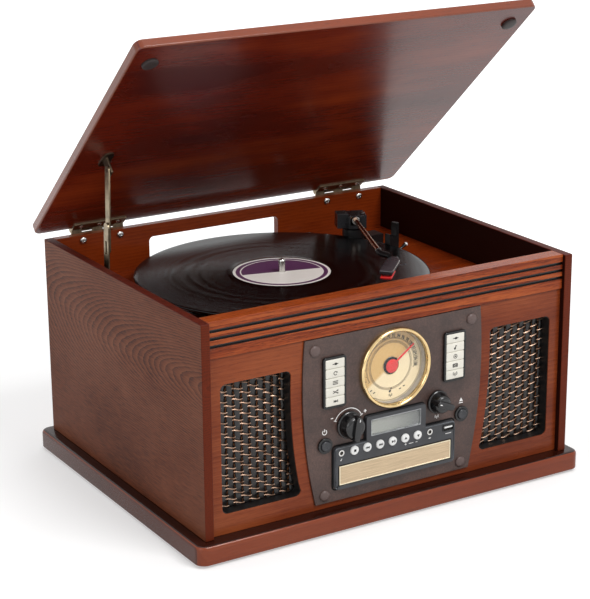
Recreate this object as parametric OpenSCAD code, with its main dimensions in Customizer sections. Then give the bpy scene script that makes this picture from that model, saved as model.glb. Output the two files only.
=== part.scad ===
// Stereo music centre: a wooden cabinet with a turntable under a hinged lid and a
// radio and disc player behind the front plate.
// Millimetres. +X is to the right of someone facing the front, +Y to the back, +Z up.
// The origin is under the middle of the cabinet, on the surface that the feet stand on.

/* [Cabinet] */
// Width over the two side panels
cab_w = 422; // [416:1:450]
// Depth from the front edges of the side panels to the back
cab_d = 338; // [334:1:370]
// Height of the cabinet walls above the plinth
wall_h = 210; // [208:1:225]
// Thickness of the side and back panels
panel_t = 9; // [8:0.5:11]
// Thickness of the front board
board_t = 12; // [10:0.5:14]
// How far the front board stands back from the side panels' edges
board_recess = 6; // [4:0.5:8]
// Height of the fluted rail above the front board
rail_h = 35.6; // [30:0.1:38]
// Depth of the fluted rail from front to back
rail_d = 17; // [15:0.5:20]
// How far the fluted rail stands proud of the front board
rail_proud = 2; // [1:0.5:4]
// Width and depth of one flute
flute = 3; // [2:0.1:4]
// Distance between two flutes
flute_pitch = 7.4; // [6:0.1:8]
// Depth of the record well below the top edge
well_depth = 45.5; // [42:0.5:50]
// Thickness of the deck board
deck_t = 9; // [6:0.5:12]
// Height and width of the battens that carry the deck board
batten = 12; // [8:1:16]

/* [Plinth and feet] */
// How far the plinth stands out at each side
plinth_side = 12; // [8:0.5:16]
// How far the plinth stands out at the front and back
plinth_end = 10; // [8:0.5:16]
// Height of the plinth
plinth_h = 19; // [16:0.5:24]
// Radius of the plinth's rounded top edge
plinth_round = 3.8; // [2:0.1:6]
// Radius of the plinth's corners seen from above
plinth_corner = 10; // [6:0.5:16]
// Height of a rubber foot
foot_h = 3; // [2:0.5:8]
// Radius of a rubber foot
foot_r = 10; // [7:0.5:14]
// Distance from the plinth's edges to a foot's middle
foot_in = 30; // [20:1:45]

/* [Back slot and sockets] */
// Width of the slot in the back panel
slot_w = 159; // [140:1:170]
// Height of the slot
slot_h = 28; // [24:0.5:30]
// Radius of the slot's corners
slot_r = 5; // [3:0.5:8]
// Width of the main circuit board
main_w = 70; // [60:1:80]
// Length of the main circuit board
main_l = 110; // [100:1:120]
// Distance of the main board from the left side panel
main_in = 52; // [40:1:60]
// Width of the transformer on the main board
core_w = 30; // [24:1:34]
// Length of the transformer
core_l = 40; // [34:1:44]
// Height of the transformer
core_h = 28.4; // [24:0.1:32]
// Width of the rear socket panel
socket_w = 96; // [80:1:110]
// Height of the rear socket panel
socket_h = 40; // [34:1:50]
// Distance of the socket panel's middle from the right side panel's inner face
socket_out = 102; // [90:1:110]
// Height of the socket panel's middle above the plinth
socket_up = 50; // [40:1:60]
// Radius of a phono socket's shell
phono_r = 4.15; // [4:0.05:4.3]
// Distance of the outer phono socket from the rear panel's middle
phono_out = 28; // [26:0.5:32]
// Distance between the two phono sockets
phono_pitch = 20; // [16:0.5:22]
// Distance of the power inlet from the rear panel's middle
inlet_out = 28; // [24:0.5:32]
// Radius of the power inlet's hole
inlet_r = 2.75; // [2.5:0.05:3.2]

/* [Lid] */
// Thickness of the lid
lid_t = 9.5; // [8:0.5:12]
// How far the lid is open in degrees
lid_open = 42; // [30:1:55]
// Gap between the closed lid and the cabinet
lid_gap = 3; // [2.5:0.1:5]
// How far the closed lid reaches past the front of the cabinet
lid_front = 7; // [4:0.5:10]
// How far the lid reaches past each side of the cabinet
lid_side = 12; // [8:0.5:16]
// Radius of the lid's corners
lid_corner = 8; // [5:0.5:14]
// Radius of a lid bumper
bumper_r = 8; // [6:0.5:9]
// Width of a hinge
hinge_w = 60; // [50:1:70]
// Distance of a hinge's middle from the centre line
hinge_x = 150; // [120:1:155]
// How far a hinge's leaf reaches down the back
leaf_drop = 18; // [16:0.5:24]
// Radius of a hinge knuckle
knuckle_r = 3; // [2.6:0.1:3.5]
// Radius of the hinge pins and the other small pivots
pin_r = 1.5; // [1.2:0.1:1.8]

/* [Lid stay] */
// Distance of the stay's pivot on the lid from the hinge line
stay_lid_y = 149; // [146:0.5:152]
// Distance of that pivot below the hinge line with the lid closed
stay_lid_z = 14; // [12:0.5:15]
// Height of the stay's case pivot below the cabinet's top edge
stay_case_z = 18; // [16:0.5:20]
// Distance of the case pivot in front of the hinge line
stay_case_y = 114; // [111:0.5:117]
// Distance from the case pivot to the elbow
stay_low_len = 38.5; // [36:0.5:41]
// Distance from the side panel's inner face to the stay's middle
stay_in = 9.65; // [8:0.05:12]
// Thickness of a stay arm
stay_t = 1.5; // [1:0.1:2]
// Width of a stay arm
stay_w = 9; // [7:0.5:11]
// How far the slotted arm reaches past the elbow
stay_tail = 15; // [12:0.5:15.5]

/* [Front plate] */
// Thickness of the front plate
plate_t = 2; // [1.5:0.1:3]
// Half width of the front plate at its top
plate_top_x = 100.7; // [98:0.1:102]
// Half width of the front plate at its bottom
plate_low_x = 89.5; // [87:0.1:92]
// How far the front plate's sides bow outwards
plate_bow = 6.9; // [4:0.1:8]
// Height of the front plate's lower edge above the plinth
plate_low = 6.5; // [4:0.5:9]
// Radius of a round head in the front plate's corners
rivet_r = 5.6; // [4:0.1:6.5]
// Gap between the front plate and the speaker openings
speaker_gap = 12; // [10:0.5:14]
// Distance from a speaker opening to the side panel's inner face
speaker_out = 12.5; // [10:0.5:20]
// Height of a speaker opening's lower edge above the plinth
speaker_low = 20; // [16:1:30]
// Distance from a speaker opening's upper edge to the fluted rail
speaker_top = 27; // [20:1:35]
// Thickness of the grille behind the front board
grille_t = 3; // [1.5:0.1:4]

/* [Dial] */
// Outer radius of the dial's bezel
dial_r = 40.2; // [38:0.1:41]
// Width of the dial's bezel
dial_rim = 4.1; // [3.5:0.1:6]
// Thickness of the bezel's tube behind the front plate's face
dial_wall = 1.6; // [1.2:0.1:2]
// Depth of the dial's card behind the front plate's face
card_in = 7.2; // [6:0.1:8]
// Distance of the dial's middle below the front plate's upper edge
dial_down = 44.3; // [43:0.1:46]
// Angle of the pointer at rest in degrees clockwise from the top
pointer_angle = 54; // [0:1:70]
// Length of the pointer's needle
needle_len = 31; // [26:0.5:32]

/* [Knobs and buttons] */
// Radius of the volume knob
vol_r = 13.6; // [11:0.1:14]
// How far the volume knob stands out
vol_h = 18.5; // [12:0.5:20]
// Distance of the volume knob from the centre line
vol_x = 52.5; // [51:0.1:55]
// Distance of the volume knob below the dial's middle
vol_down = 47.3; // [46:0.1:49]
// Radius of the tuning knob
tune_r = 11.7; // [9:0.1:12]
// How far the tuning knob stands out
tune_h = 17; // [12:0.5:20]
// Distance of the tuning knob from the centre line
tune_x = 50.3; // [48:0.1:52]
// Distance of the tuning knob below the dial's middle
tune_down = 45; // [43:0.1:47]
// Width of a knob's grip fin
fin_w = 5.6; // [4:0.1:7]
// Radius of a knob's shaft
shaft_r = 3; // [2.5:0.1:3.2]
// Radius of the power and eject buttons
push_r = 5.2; // [4:0.1:5.5]
// Distance of the power and eject buttons from the centre line
push_x = 79.4; // [79:0.1:82]
// Distance of those buttons below the dial's middle
push_down = 63.3; // [62:0.1:66]
// Width of one key
key_w = 21; // [18:0.1:22]
// Distance between two keys
key_pitch = 9.3; // [8:0.1:9.4]
// Distance of a key strip from the centre line
key_x = 69.3; // [69:0.1:72]
// Travel of a key or button
press = 1.2; // [0.6:0.1:1.5]
// Radius of a transport button
transport_r = 4.5; // [3.5:0.1:4.9]
// Distance between two transport buttons
transport_pitch = 14.65; // [13:0.05:14.8]

/* [Display and disc drawer] */
// Half width of the display's frame
lcd_x = 34.4; // [30:0.1:36]
// Height of the display's frame
lcd_h = 24.6; // [22:0.1:26]
// Half width of the control panel
panel_x = 70.3; // [69.5:0.1:71]
// Height of the control panel
panel_h = 43; // [42:0.1:44]
// Half width of the drawer's door
door_x = 65.2; // [64:0.1:66]
// Height of the drawer's door
door_h = 19.8; // [18:0.1:20.5]
// Height of the drawer's door above the control panel's lower edge
door_up = 4.1; // [3:0.1:5]
// Length of the disc tray
tray_len = 131; // [128:1:140]
// Radius of the disc recess
disc_r = 60.4; // [60.2:0.1:60.8]
// Radius of the hole of a headphone or line socket
jack_r = 1.8; // [1.75:0.01:1.85]

/* [Turntable] */
// Distance of the record's edge from the cabinet's front and back faces, on average
record_in = 18; // [17.5:0.1:21]
// Thickness of the record
record_t = 1.7; // [1.2:0.1:2.2]
// Radius of the spindle
spindle_r = 3.575; // [3.5:0.005:3.6]
// Height of the spindle above the record
spindle_up = 14; // [10:0.5:16]
// Distance of the spindle left of the centre line
spindle_left = 19; // [14:0.5:24]
// Distance of the spindle behind the cabinet's middle
spindle_back = 12; // [8:0.5:13]
// Distance of the transit screw right of the spindle
screw_right = 116; // [112:1:120]
// Distance of the transit screw in front of the back panel
screw_in = 15; // [12:0.5:18]
// Height of the record's underside above the deck
platter_h = 17.1; // [16:0.1:19]
// Radius of the platter
platter_r = 98; // [94:0.5:104]
// Radius of the platter's drum that carries the belt
drum_r = 60; // [50:0.5:62]
// Radius of the motor's pulley
pulley_r = 6; // [4:0.5:8]
// Distance from the spindle to the motor's shaft
motor_dist = 79; // [77:0.5:82]
// Direction from the spindle to the motor in degrees
motor_angle = 150; // [120:1:180]
// Thickness of the drive belt
belt_t = 0.8; // [0.6:0.1:1.2]

/* [Tonearm] */
// Distance of the arm's pivot from the record's edge
arm_out = 16.8; // [15:0.1:20]
// Direction from the spindle to the arm's pivot in degrees
arm_bearing = 31.2; // [30:0.1:33]
// Height of the arm's tube above the deck
arm_up = 35.5; // [34:0.5:37]
// Angle of the arm at rest in degrees
arm_angle = -22; // [-26:0.5:-20]
// Length from the pivot to the head
arm_len = 144; // [140:0.5:148]
// Radius of the arm's tube
tube_r = 2.7; // [2.2:0.1:3.2]
// Angle of the head to the tube in degrees
head_angle = -28; // [-30:0.5:-24]
// Width of the head
head_w = 14.5; // [13:0.5:16]
// Length of the head
head_len = 34; // [30:0.5:36]
// Distance of the arm's rest from its pivot
rest_dist = 59; // [56:0.5:62]

/* [Hidden] */
run = 0.05;
air = 0.3;
fa = 64;
z0 = foot_h + plinth_h;
top_z = z0 + wall_h;
in_x = cab_w / 2 - panel_t;
back_in = cab_d / 2 - panel_t;
board_y = -cab_d / 2 + board_recess;
board_back = board_y + board_t;
rail_y = board_y - rail_proud;
rail_z = top_z - rail_h;
well_front = rail_y + rail_d;
deck_z = top_z - well_depth;
// front plate and what is on it
plate_y = board_y - plate_t;
plate_z0 = z0 + plate_low;
plate_z1 = rail_z - 0.8;
plate_chord = norm([plate_top_x - plate_low_x, plate_z1 - plate_z0]);
dial_z = plate_z1 - dial_down;
vol_z = dial_z - vol_down;
tune_z = dial_z - tune_down;
push_z = dial_z - push_down;
lcd_z1 = dial_z - dial_r - 2.8;
lcd_z0 = lcd_z1 - lcd_h;
panel_z0 = lcd_z0 - panel_h;
door_z0 = panel_z0 + door_up;
door_z1 = door_z0 + door_h;
bezel_y = plate_y - 3.2;
lcd_y = plate_y - 4;
key_n = 5;
key_y = plate_y - 3.2;
key_h = key_pitch - 0.3;
strip_w = key_w + 4.4;
strip_h = key_n * key_pitch + 4.5;
strip_z = dial_z - 1;
key_back = plate_y + 4;
switch_y = key_back + press + 1.3;
transport_z = lcd_z0 - 6;
transport_n = 6;
transport_x0 = -panel_x + 22.3;
usb_x = panel_x - 8;
usb_w = 13.1;
usb_h = 6.2;
// speaker openings
speaker_x1 = in_x - speaker_out;
speaker_z0 = z0 + speaker_low;
speaker_z1 = rail_z - speaker_top;
speaker_mid = (speaker_z0 + speaker_z1) / 2;
// disc drawer
tray_z = door_z0 + 6.2;
tray_t = 6;
tray_x = door_x - 3.2;
tray_y = bezel_y + 1.6;
drive_y0 = board_back + 1;
drive_y1 = tray_y + tray_len + 8;
// turntable
sp_x = -spindle_left;
sp_y = spindle_back;
record_r = cab_d / 2 - record_in;
record_z = deck_z + platter_h;
flange_z = deck_z + 2.7;
hub_z = flange_z + air;
belt_z = deck_z + 4;
belt_h = 4;
motor_x = sp_x + motor_dist * cos(motor_angle);
motor_y = sp_y + motor_dist * sin(motor_angle);
arm_x = sp_x + (record_r + arm_out) * cos(arm_bearing);
arm_y = sp_y + (record_r + arm_out) * sin(arm_bearing);
arm_z = deck_z + arm_up;
col_z = arm_z - 12;
rest_angle = 10;
head_x = 5.5;
head_y = arm_len + 10.5;
head_tilt = 10;
cue_z = deck_z + 9;
rest_x = arm_x + rest_dist * sin(rest_angle);
rest_y = arm_y - rest_dist * cos(rest_angle);
// transit screw behind the record
screw_x = sp_x + screw_right;
screw_y = back_in - screw_in;
screw_r = 2.5;
// lid and its hinge
hinge_y = cab_d / 2 + knuckle_r;
hinge_z = top_z + lid_gap + 1;
lid_w = cab_w + 2 * lid_side;
lid_y0 = -cab_d / 2 - lid_front;
lid_y1 = cab_d / 2 - 0.7;
lid_z = top_z + lid_gap;
knuckle_n = 5;
knuckle_w = hinge_w / knuckle_n;
leaf_t = 1.5;
// lid stay, seen along X as [y, z]
stay_x = -in_x + stay_in;
case_pivot = [hinge_y - stay_case_y, top_z - stay_case_z];
lid_pivot_closed = [hinge_y - stay_lid_y, hinge_z - stay_lid_z];
lid_pivot = turned(lid_pivot_closed);
stay_dir = (lid_pivot - case_pivot) / norm(lid_pivot - case_pivot);
elbow = case_pivot + stay_low_len * stay_dir;
stay_pin_r = 2;

// ---- helpers ----

// A point [y, z] of the closed lid, turned about the hinge to the open lid.
function turned(p) =
    let (dy = p[0] - hinge_y, dz = p[1] - hinge_z, c = cos(lid_open), s = sin(lid_open))
    [hinge_y + dy * c + dz * s, hinge_z - dy * s + dz * c];

// Points along an arc from angle a0 to a1.
function arc(x, y, r, a0, a1, n = 8) =
    [for (i = [0 : n]) let (a = a0 + (a1 - a0) * i / n) [x + r * cos(a), y + r * sin(a)]];

// A rectangle with round corners.
function round_rect(x0, x1, y0, y1, r) = concat(
    arc(x1 - r, y0 + r, r, -90, 0), arc(x1 - r, y1 - r, r, 0, 90),
    arc(x0 + r, y1 - r, r, 90, 180), arc(x0 + r, y0 + r, r, 180, 270));

// Half width of the front plate at a height, along its bowed side.
function plate_edge(z) =
    let (u = (z - plate_z0) / (plate_z1 - plate_z0))
    plate_low_x + (plate_top_x - plate_low_x) * u + 4 * plate_bow * u * (1 - u);

function plate_outline(n = 24) = concat(
    [for (i = [0 : n]) let (z = plate_z0 + (plate_z1 - plate_z0) * i / n) [plate_edge(z), z]],
    [for (i = [n : -1 : 0]) let (z = plate_z0 + (plate_z1 - plate_z0) * i / n) [-plate_edge(z), z]]);

// The right speaker opening, grown by m all round.
function speaker_outline(m, r = 6, n = 16) =
    let (zl = speaker_z0 - m, zh = speaker_z1 + m, xo = speaker_x1 + m, g = speaker_gap - m,
         xl = plate_edge(speaker_z0) + g, xh = plate_edge(speaker_z1) + g)
    concat(
        arc(xo - r, zl + r, r, -90, 0), arc(xo - r, zh - r, r, 0, 90), arc(xh + r, zh - r, r, 90, 170),
        [for (i = [1 : n - 1]) let (z = zh - r + (zl - zh + 2 * r) * i / n)
            [plate_edge(max(min(z, plate_z1), plate_z0)) + g, z]],
        arc(xl + r, zl + r, r, 190, 270));

module plate_xz(points, y0, y1) {
    translate([0, y1, 0]) rotate([90, 0, 0]) linear_extrude(y1 - y0) polygon(points);
}

module box(x0, x1, y0, y1, za, zb) {
    translate([x0, y0, za]) cube([x1 - x0, y1 - y0, zb - za]);
}

module rod_x(y, z, r, x0, x1) {
    translate([x0, y, z]) rotate([0, 90, 0]) cylinder(h = x1 - x0, r = r, $fn = fa);
}

module rod_y(x, z, r, y0, y1) {
    translate([x, y1, z]) rotate([90, 0, 0]) cylinder(h = y1 - y0, r = r, $fn = fa);
}

module rod_z(x, y, r, za, zb) {
    translate([x, y, za]) cylinder(h = zb - za, r = r, $fn = fa);
}

module ring_y(x, z, ro, ri, y0, y1) {
    difference() {
        rod_y(x, z, ro, y0, y1);
        rod_y(x, z, ri, y0 - 1, y1 + 1);
    }
}

module both_sides() {
    children();
    mirror([1, 0, 0]) children();
}

// Carries what is drawn on the closed lid to the open lid.
module on_lid() {
    translate([0, hinge_y, hinge_z]) rotate([-lid_open, 0, 0]) translate([0, -hinge_y, -hinge_z])
        children();
}

// The arm's own frame: its origin on the pivot, the arm along -Y.
module on_arm() {
    translate([arm_x, arm_y, 0]) rotate([0, 0, arm_angle]) children();
}

// The head's own frame: its origin at the head's upper rear left corner, the head along -Y
// and dipping towards its front.
module on_head() {
    on_arm() translate([head_x, -head_y, arm_z]) rotate([0, 0, head_angle]) rotate([head_tilt, 0, 0])
        children();
}

// A flat bar in a plane across X, with round ends.
module bar_x(p, q, w, x0, x1, over_p = 0, over_q = 0) {
    d = (q - p) / norm(q - p);
    a = atan2(d[1], d[0]);
    translate([x0, p[0], p[1]]) rotate([90, 0, 90]) rotate([0, 0, a]) linear_extrude(x1 - x0) {
        translate([-over_p, -w / 2]) square([norm(q - p) + over_p + over_q, w]);
        translate([-over_p, 0]) circle(w / 2, $fn = fa);
        translate([norm(q - p) + over_q, 0]) circle(w / 2, $fn = fa);
    }
}

// ---- cabinet ----

module plinth() {
    x = cab_w / 2 + plinth_side;
    y = cab_d / 2 + plinth_end;
    steps = 5;
    color("sienna") hull() {
        translate([0, 0, foot_h]) linear_extrude(plinth_h - plinth_round)
            polygon(round_rect(-x, x, -y, y, plinth_corner));
        for (i = [1 : steps]) {
            a = 90 * i / steps;
            d = plinth_round * (1 - cos(a));
            translate([0, 0, foot_h + plinth_h - plinth_round + plinth_round * sin(a) - 0.02])
                linear_extrude(0.02) polygon(round_rect(-x + d, x - d, -y + d, y - d, plinth_corner - d));
        }
    }
}

module rubber_feet() {
    x = cab_w / 2 + plinth_side - foot_in;
    y = cab_d / 2 + plinth_end - foot_in;
    color("dimgray") for (sx = [-1, 1], sy = [-1, 1]) rod_z(sx * x, sy * y, foot_r, 0, foot_h);
}

module side_panel() {
    box(in_x, in_x + panel_t, -cab_d / 2, cab_d / 2, z0, top_z);
    box(in_x - batten, in_x, board_back + grille_t, back_in, deck_z - deck_t - batten, deck_z - deck_t);
}

module left_side_panel() {
    color("rosybrown") mirror([1, 0, 0]) side_panel();
}

module right_side_panel() {
    color("rosybrown") side_panel();
}

slot_z1 = record_z + 14.6;

module back_panel() {
    slot_x = sp_x + 4.4;
    color("sienna") difference() {
        box(-in_x, in_x, back_in, cab_d / 2, z0, top_z);
        plate_xz(round_rect(slot_x - slot_w / 2, slot_x + slot_w / 2, slot_z1 - slot_h, slot_z1, slot_r),
            back_in - 1, cab_d / 2 + 1);
        plate_xz(round_rect(socket_x - socket_w / 2 + 8, socket_x + socket_w / 2 - 8,
            socket_z - socket_h / 2 + 8, socket_z + socket_h / 2 - 8, 3), back_in - 1, cab_d / 2 + 1);
    }
}

module front_board() {
    hole_x = push_x + push_r + 1.5;
    color("sienna") difference() {
        box(-in_x, in_x, board_y, board_back, z0, rail_z);
        plate_xz(round_rect(-hole_x, hole_x, plate_z0 + 8, plate_z1 - 6, 4), board_y - 1, board_back + 1);
        both_sides() plate_xz(speaker_outline(0), board_y - 1, board_back + 1);
    }
}

module fluted_rail() {
    color("peru") difference() {
        box(-in_x, in_x, rail_y, well_front, rail_z, top_z);
        for (i = [0 : 2]) {
            z = top_z - 9.3 - i * flute_pitch;
            box(-in_x - 1, in_x + 1, rail_y - 1, rail_y + flute, z - flute / 2, z + flute / 2);
        }
    }
}

module deck_board() {
    color("saddlebrown") difference() {
        box(-in_x, in_x, board_back, back_in, deck_z - deck_t, deck_z);
        rod_z(sp_x, sp_y, spindle_r + run, deck_z - deck_t - 1, deck_z + 1);
        rod_z(motor_x, motor_y, pulley_r + 1, deck_z - deck_t - 1, deck_z + 1);
        rod_z(screw_x, screw_y, screw_r + run, deck_z - deck_t - 1, deck_z + 1);
    }
}

// ---- front plate ----

module faceplate() {
    color([0.33, 0.25, 0.23]) {
        difference() {
            plate_xz(plate_outline(), plate_y, board_y);
            rod_y(0, dial_z, dial_r - dial_rim + dial_wall + run, plate_y - 1, board_y + 1);
            both_sides() {
                plate_xz(round_rect(key_x - key_w / 2 - 0.4, key_x + key_w / 2 + 0.4,
                    strip_z - key_n * key_pitch / 2 - 0.3, strip_z + key_n * key_pitch / 2 + 0.3, 1),
                    plate_y - 1, board_y + 1);
                rod_y(push_x, push_z, push_r + 0.3, plate_y - 1, board_y + 1);
            }
            for (k = knob_places()) rod_y(k[0], k[1], shaft_r + run, plate_y - 1, board_y + 1);
            plate_xz(round_rect(-lcd_x + 4, lcd_x - 4, lcd_z0 + 3, lcd_z1 - 3, 1),
                plate_y - 1, board_y + 1);
            plate_xz(round_rect(-panel_x + 1.1, panel_x - 1.1, panel_z0 + 2, lcd_z0 - 1, 2),
                plate_y - 1, board_y + 1);
        }
        for (z = [plate_z0 + 8, plate_z1 - 11.5]) both_sides()
            translate([plate_edge(z) - 11.8, plate_y, z]) rotate([90, 0, 0]) rotate_extrude($fn = fa)
                polygon(concat([[0, 0], [rivet_r, 0]],
                    [for (i = [0 : 5]) let (a = i * 18) [rivet_r * cos(a), 0.6 + 2.2 * sin(a)]]));
    }
}

module button_surrounds() {
    color([0.08, 0.08, 0.08]) both_sides() {
        difference() {
            plate_xz(round_rect(key_x - strip_w / 2, key_x + strip_w / 2,
                strip_z - strip_h / 2, strip_z + strip_h / 2, 3), plate_y - 2.8, plate_y);
            plate_xz(round_rect(key_x - key_w / 2 - 0.2, key_x + key_w / 2 + 0.2,
                strip_z - key_n * key_pitch / 2, strip_z + key_n * key_pitch / 2, 0.6),
                plate_y - 4, plate_y + 1);
        }
        ring_y(push_x, push_z, push_r + 2.6, push_r + run, plate_y - 2.2, plate_y);
    }
}

module control_bezel() {
    color([0.27, 0.27, 0.29]) difference() {
        union() {
            plate_xz(round_rect(-panel_x, panel_x, panel_z0, lcd_z0 + 0.6, 5), bezel_y, plate_y);
            plate_xz(round_rect(-lcd_x, lcd_x, lcd_z0 - 1, lcd_z1, 2), lcd_y, plate_y);
            plate_xz(round_rect(-panel_x + 3, panel_x - 3, panel_z0 + 0.6, door_z0 - 0.4, 1.2),
                bezel_y - 1.6, plate_y);
        }
        plate_xz(round_rect(-lcd_x + 5.4, lcd_x - 5.4, lcd_z0 + 4.3, lcd_z1 - 3.6, 1),
            lcd_y - 1, plate_y + 1);
        box(-door_x - 0.4, door_x + 0.4, bezel_y - 3, plate_y + 1, door_z0 - 0.4, door_z1 + 0.4);
        for (i = [0 : transport_n - 1])
            rod_y(transport_x0 + i * transport_pitch, transport_z, transport_r + run,
                bezel_y - 3, plate_y + 1);
        for (x = jack_places()) rod_y(x, transport_z, 3.2 + run, bezel_y - 3, plate_y + 1);
        box(usb_x - usb_w / 2 - run, usb_x + usb_w / 2 + run, bezel_y - 3, plate_y + 1,
            transport_z - usb_h / 2 - run, transport_z + usb_h / 2 + run);
    }
}

// The headphone socket stands left of the buttons and the line socket right of them.
function jack_places() = [
    transport_x0 - transport_pitch,
    transport_x0 + transport_n * transport_pitch];

module lcd_window() {
    color([0.7, 0.72, 0.68]) plate_xz(round_rect(-lcd_x + 5.5, lcd_x - 5.5, lcd_z0 + 4.4, lcd_z1 - 3.7, 1),
        lcd_y + 2.4, plate_y);
}

module front_sockets() {
    color("silver") {
        for (x = jack_places()) difference() {
            rod_y(x, transport_z, 3.2, bezel_y - 0.6, switch_y);
            rod_y(x, transport_z, jack_r, bezel_y - 1, switch_y - 1);
        }
        difference() {
            box(usb_x - usb_w / 2, usb_x + usb_w / 2, bezel_y, switch_y,
                transport_z - usb_h / 2, transport_z + usb_h / 2);
            box(usb_x - usb_w / 2 + 0.5, usb_x + usb_w / 2 - 0.5, bezel_y - 1, switch_y - 1,
                transport_z - usb_h / 2 + 0.5, transport_z + usb_h / 2 - 0.5);
        }
    }
}

// ---- dial ----

module dial_bezel() {
    ri = dial_r - dial_rim;
    color("goldenrod") translate([0, plate_y, dial_z]) rotate([90, 0, 0]) rotate_extrude($fn = 96)
        polygon(concat(
            [[ri + dial_wall, 0], [dial_r, 0]],
            [for (i = [0 : 8]) let (a = i * 22.5)
                [dial_r - dial_rim / 2 + dial_rim / 2 * cos(a), 1.4 + 3.2 * sin(a)]],
            [[ri, -card_in - 1.6], [ri + dial_wall, -card_in - 1.6]]));
}

module dial_face() {
    color("wheat") difference() {
        union() {
            rod_y(0, dial_z, dial_r - dial_rim - run, plate_y + card_in, plate_y + card_in + 1.2);
            rod_y(0, dial_z, 5, plate_y + card_in, plate_y + card_in + 4);
        }
        rod_y(0, dial_z, pin_r + run, plate_y + card_in - 1, plate_y + card_in + 5);
    }
}

module dial_lens() {
    color([0.8, 0.9, 0.9, 0.4])
        rod_y(0, dial_z, dial_r - dial_rim - run, plate_y - 1.4, plate_y - 0.4);
}

module dial_pointer() {
    color("red") {
        rod_y(0, dial_z, 6.8, plate_y + card_in - 3, plate_y + card_in - 1.8);
        rod_y(0, dial_z, pin_r, plate_y + card_in - 3, plate_y + card_in + 3);
        translate([0, plate_y + card_in - 2, dial_z]) rotate([0, pointer_angle, 0])
            translate([-1.1, -0.8, 0]) cube([2.2, 0.8, needle_len]);
    }
}

// ---- knobs and buttons ----

// The middles of the two knobs as [x, z].
function knob_places() = [[-vol_x, vol_z], [tune_x, tune_z]];

// A round skirt with a grip fin across it, on a shaft.
module knob(place, r, h, turn) {
    x = place[0];
    z = place[1];
    y = plate_y - air;
    color([0.1, 0.1, 0.11]) {
        rod_y(x, z, r, y - 3, y);
        translate([x, y - 3, z]) rotate([90, 0, 0]) cylinder(h = h - 9, r1 = r - 1, r2 = r - 3, $fn = fa);
        translate([x, y, z]) rotate([0, turn, 0]) translate([-fin_w / 2, -h, -r + 0.8])
            cube([fin_w, h - 2, 2 * r - 1.6]);
        rod_y(x, z, shaft_r, y - 1, switch_y + 7);
    }
}

module volume_knob() {
    knob(knob_places()[0], vol_r, vol_h, 8);
}

module tuning_knob() {
    knob(knob_places()[1], tune_r, tune_h, -68);
}

module key(side, i, front) {
    z = strip_z + (key_n - 1) * key_pitch / 2 - (i - 1) * key_pitch;
    box(side * key_x - key_w / 2, side * key_x + key_w / 2, front, key_back, z - key_h / 2, z + key_h / 2);
}

module function_key(i) {
    color("ivory") key(-1, i, key_y);
}

module source_windows() {
    color("ivory") for (i = [1 : key_n]) key(1, i, key_y + 0.2);
}

module transport_button(i) {
    x = transport_x0 + (i - 1) * transport_pitch;
    color("white") rod_y(x, transport_z, transport_r, bezel_y - 1.7, key_back);
}

module push_button(side) {
    color([0.15, 0.15, 0.17]) rod_y(side * push_x, push_z, push_r, plate_y - 3.8, key_back);
}

// ---- disc drawer ----

module cd_door() {
    color([0.78, 0.7, 0.56]) box(-door_x, door_x, bezel_y - 0.4, tray_y, door_z0, door_z1);
}

module cd_tray() {
    color([0.2, 0.2, 0.22]) difference() {
        box(-tray_x, tray_x, tray_y, tray_y + tray_len, tray_z, tray_z + tray_t);
        rod_z(0, tray_y + tray_len / 2 + 1, disc_r, tray_z + tray_t - 2.4, tray_z + tray_t + 1);
        rod_z(0, tray_y + tray_len / 2 + 1, 18, tray_z - 1, tray_z + tray_t + 1);
    }
}

module cd_mechanism() {
    color("gray") difference() {
        union() {
            box(-tray_x - 7, tray_x + 7, drive_y0, drive_y1, tray_z - 8, tray_z + tray_t + 9);
            both_sides() box(tray_x - 15, tray_x + 7, drive_y0, drive_y1, z0, tray_z - 7);
        }
        box(-tray_x - air, tray_x + air, drive_y0 - 1, drive_y1 - 2, tray_z - air, tray_z + tray_t + 4);
    }
}

// ---- speakers ----

module speaker_grilles() {
    color([0.25, 0.17, 0.1]) both_sides()
        plate_xz(speaker_outline(4.8), board_back, board_back + grille_t);
}

module speaker_drivers() {
    r = 36;
    x = (plate_edge(speaker_mid) + speaker_gap + speaker_x1) / 2;
    y = board_back + grille_t;
    w = in_x - x - 1;
    color([0.2, 0.2, 0.2]) both_sides() {
        difference() {
            box(x - w, x + w, y, y + 2, speaker_mid - w, speaker_mid + w);
            rod_y(x, speaker_mid, r, y - 1, y + 3);
        }
        translate([x, y + 2, speaker_mid]) rotate([-90, 0, 0]) difference() {
            cylinder(h = 24, r1 = r + 2, r2 = 16, $fn = fa);
            translate([0, 0, -0.1]) cylinder(h = 20, r1 = r, r2 = 12, $fn = fa);
        }
        rod_y(x, speaker_mid, 24, y + 26, y + 40);
    }
}

// ---- turntable ----

module platter() {
    color([0.15, 0.15, 0.16]) difference() {
        union() {
            rod_z(sp_x, sp_y, platter_r, record_z - 4, record_z);
            difference() {
                rod_z(sp_x, sp_y, platter_r, hub_z + 1.5, record_z - 3.9);
                rod_z(sp_x, sp_y, platter_r - 2.5, hub_z, record_z - 3.9);
            }
            difference() {
                rod_z(sp_x, sp_y, drum_r, hub_z, record_z - 3.9);
                rod_z(sp_x, sp_y, drum_r - 3, hub_z - 1, record_z - 3.9);
            }
            rod_z(sp_x, sp_y, 9, hub_z, record_z - 3.9);
        }
        rod_z(sp_x, sp_y, spindle_r + run, hub_z - 1, record_z + 1);
    }
}

module spindle() {
    tip = record_z + record_t + spindle_up;
    color("silver") {
        rod_z(sp_x, sp_y, spindle_r, deck_z - deck_t - 2, tip - 2.2);
        translate([sp_x, sp_y, tip - 2.2]) cylinder(h = 2.2, r1 = spindle_r, r2 = 1.6, $fn = fa);
        rod_z(sp_x, sp_y, 14, deck_z, flange_z);
    }
}

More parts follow.
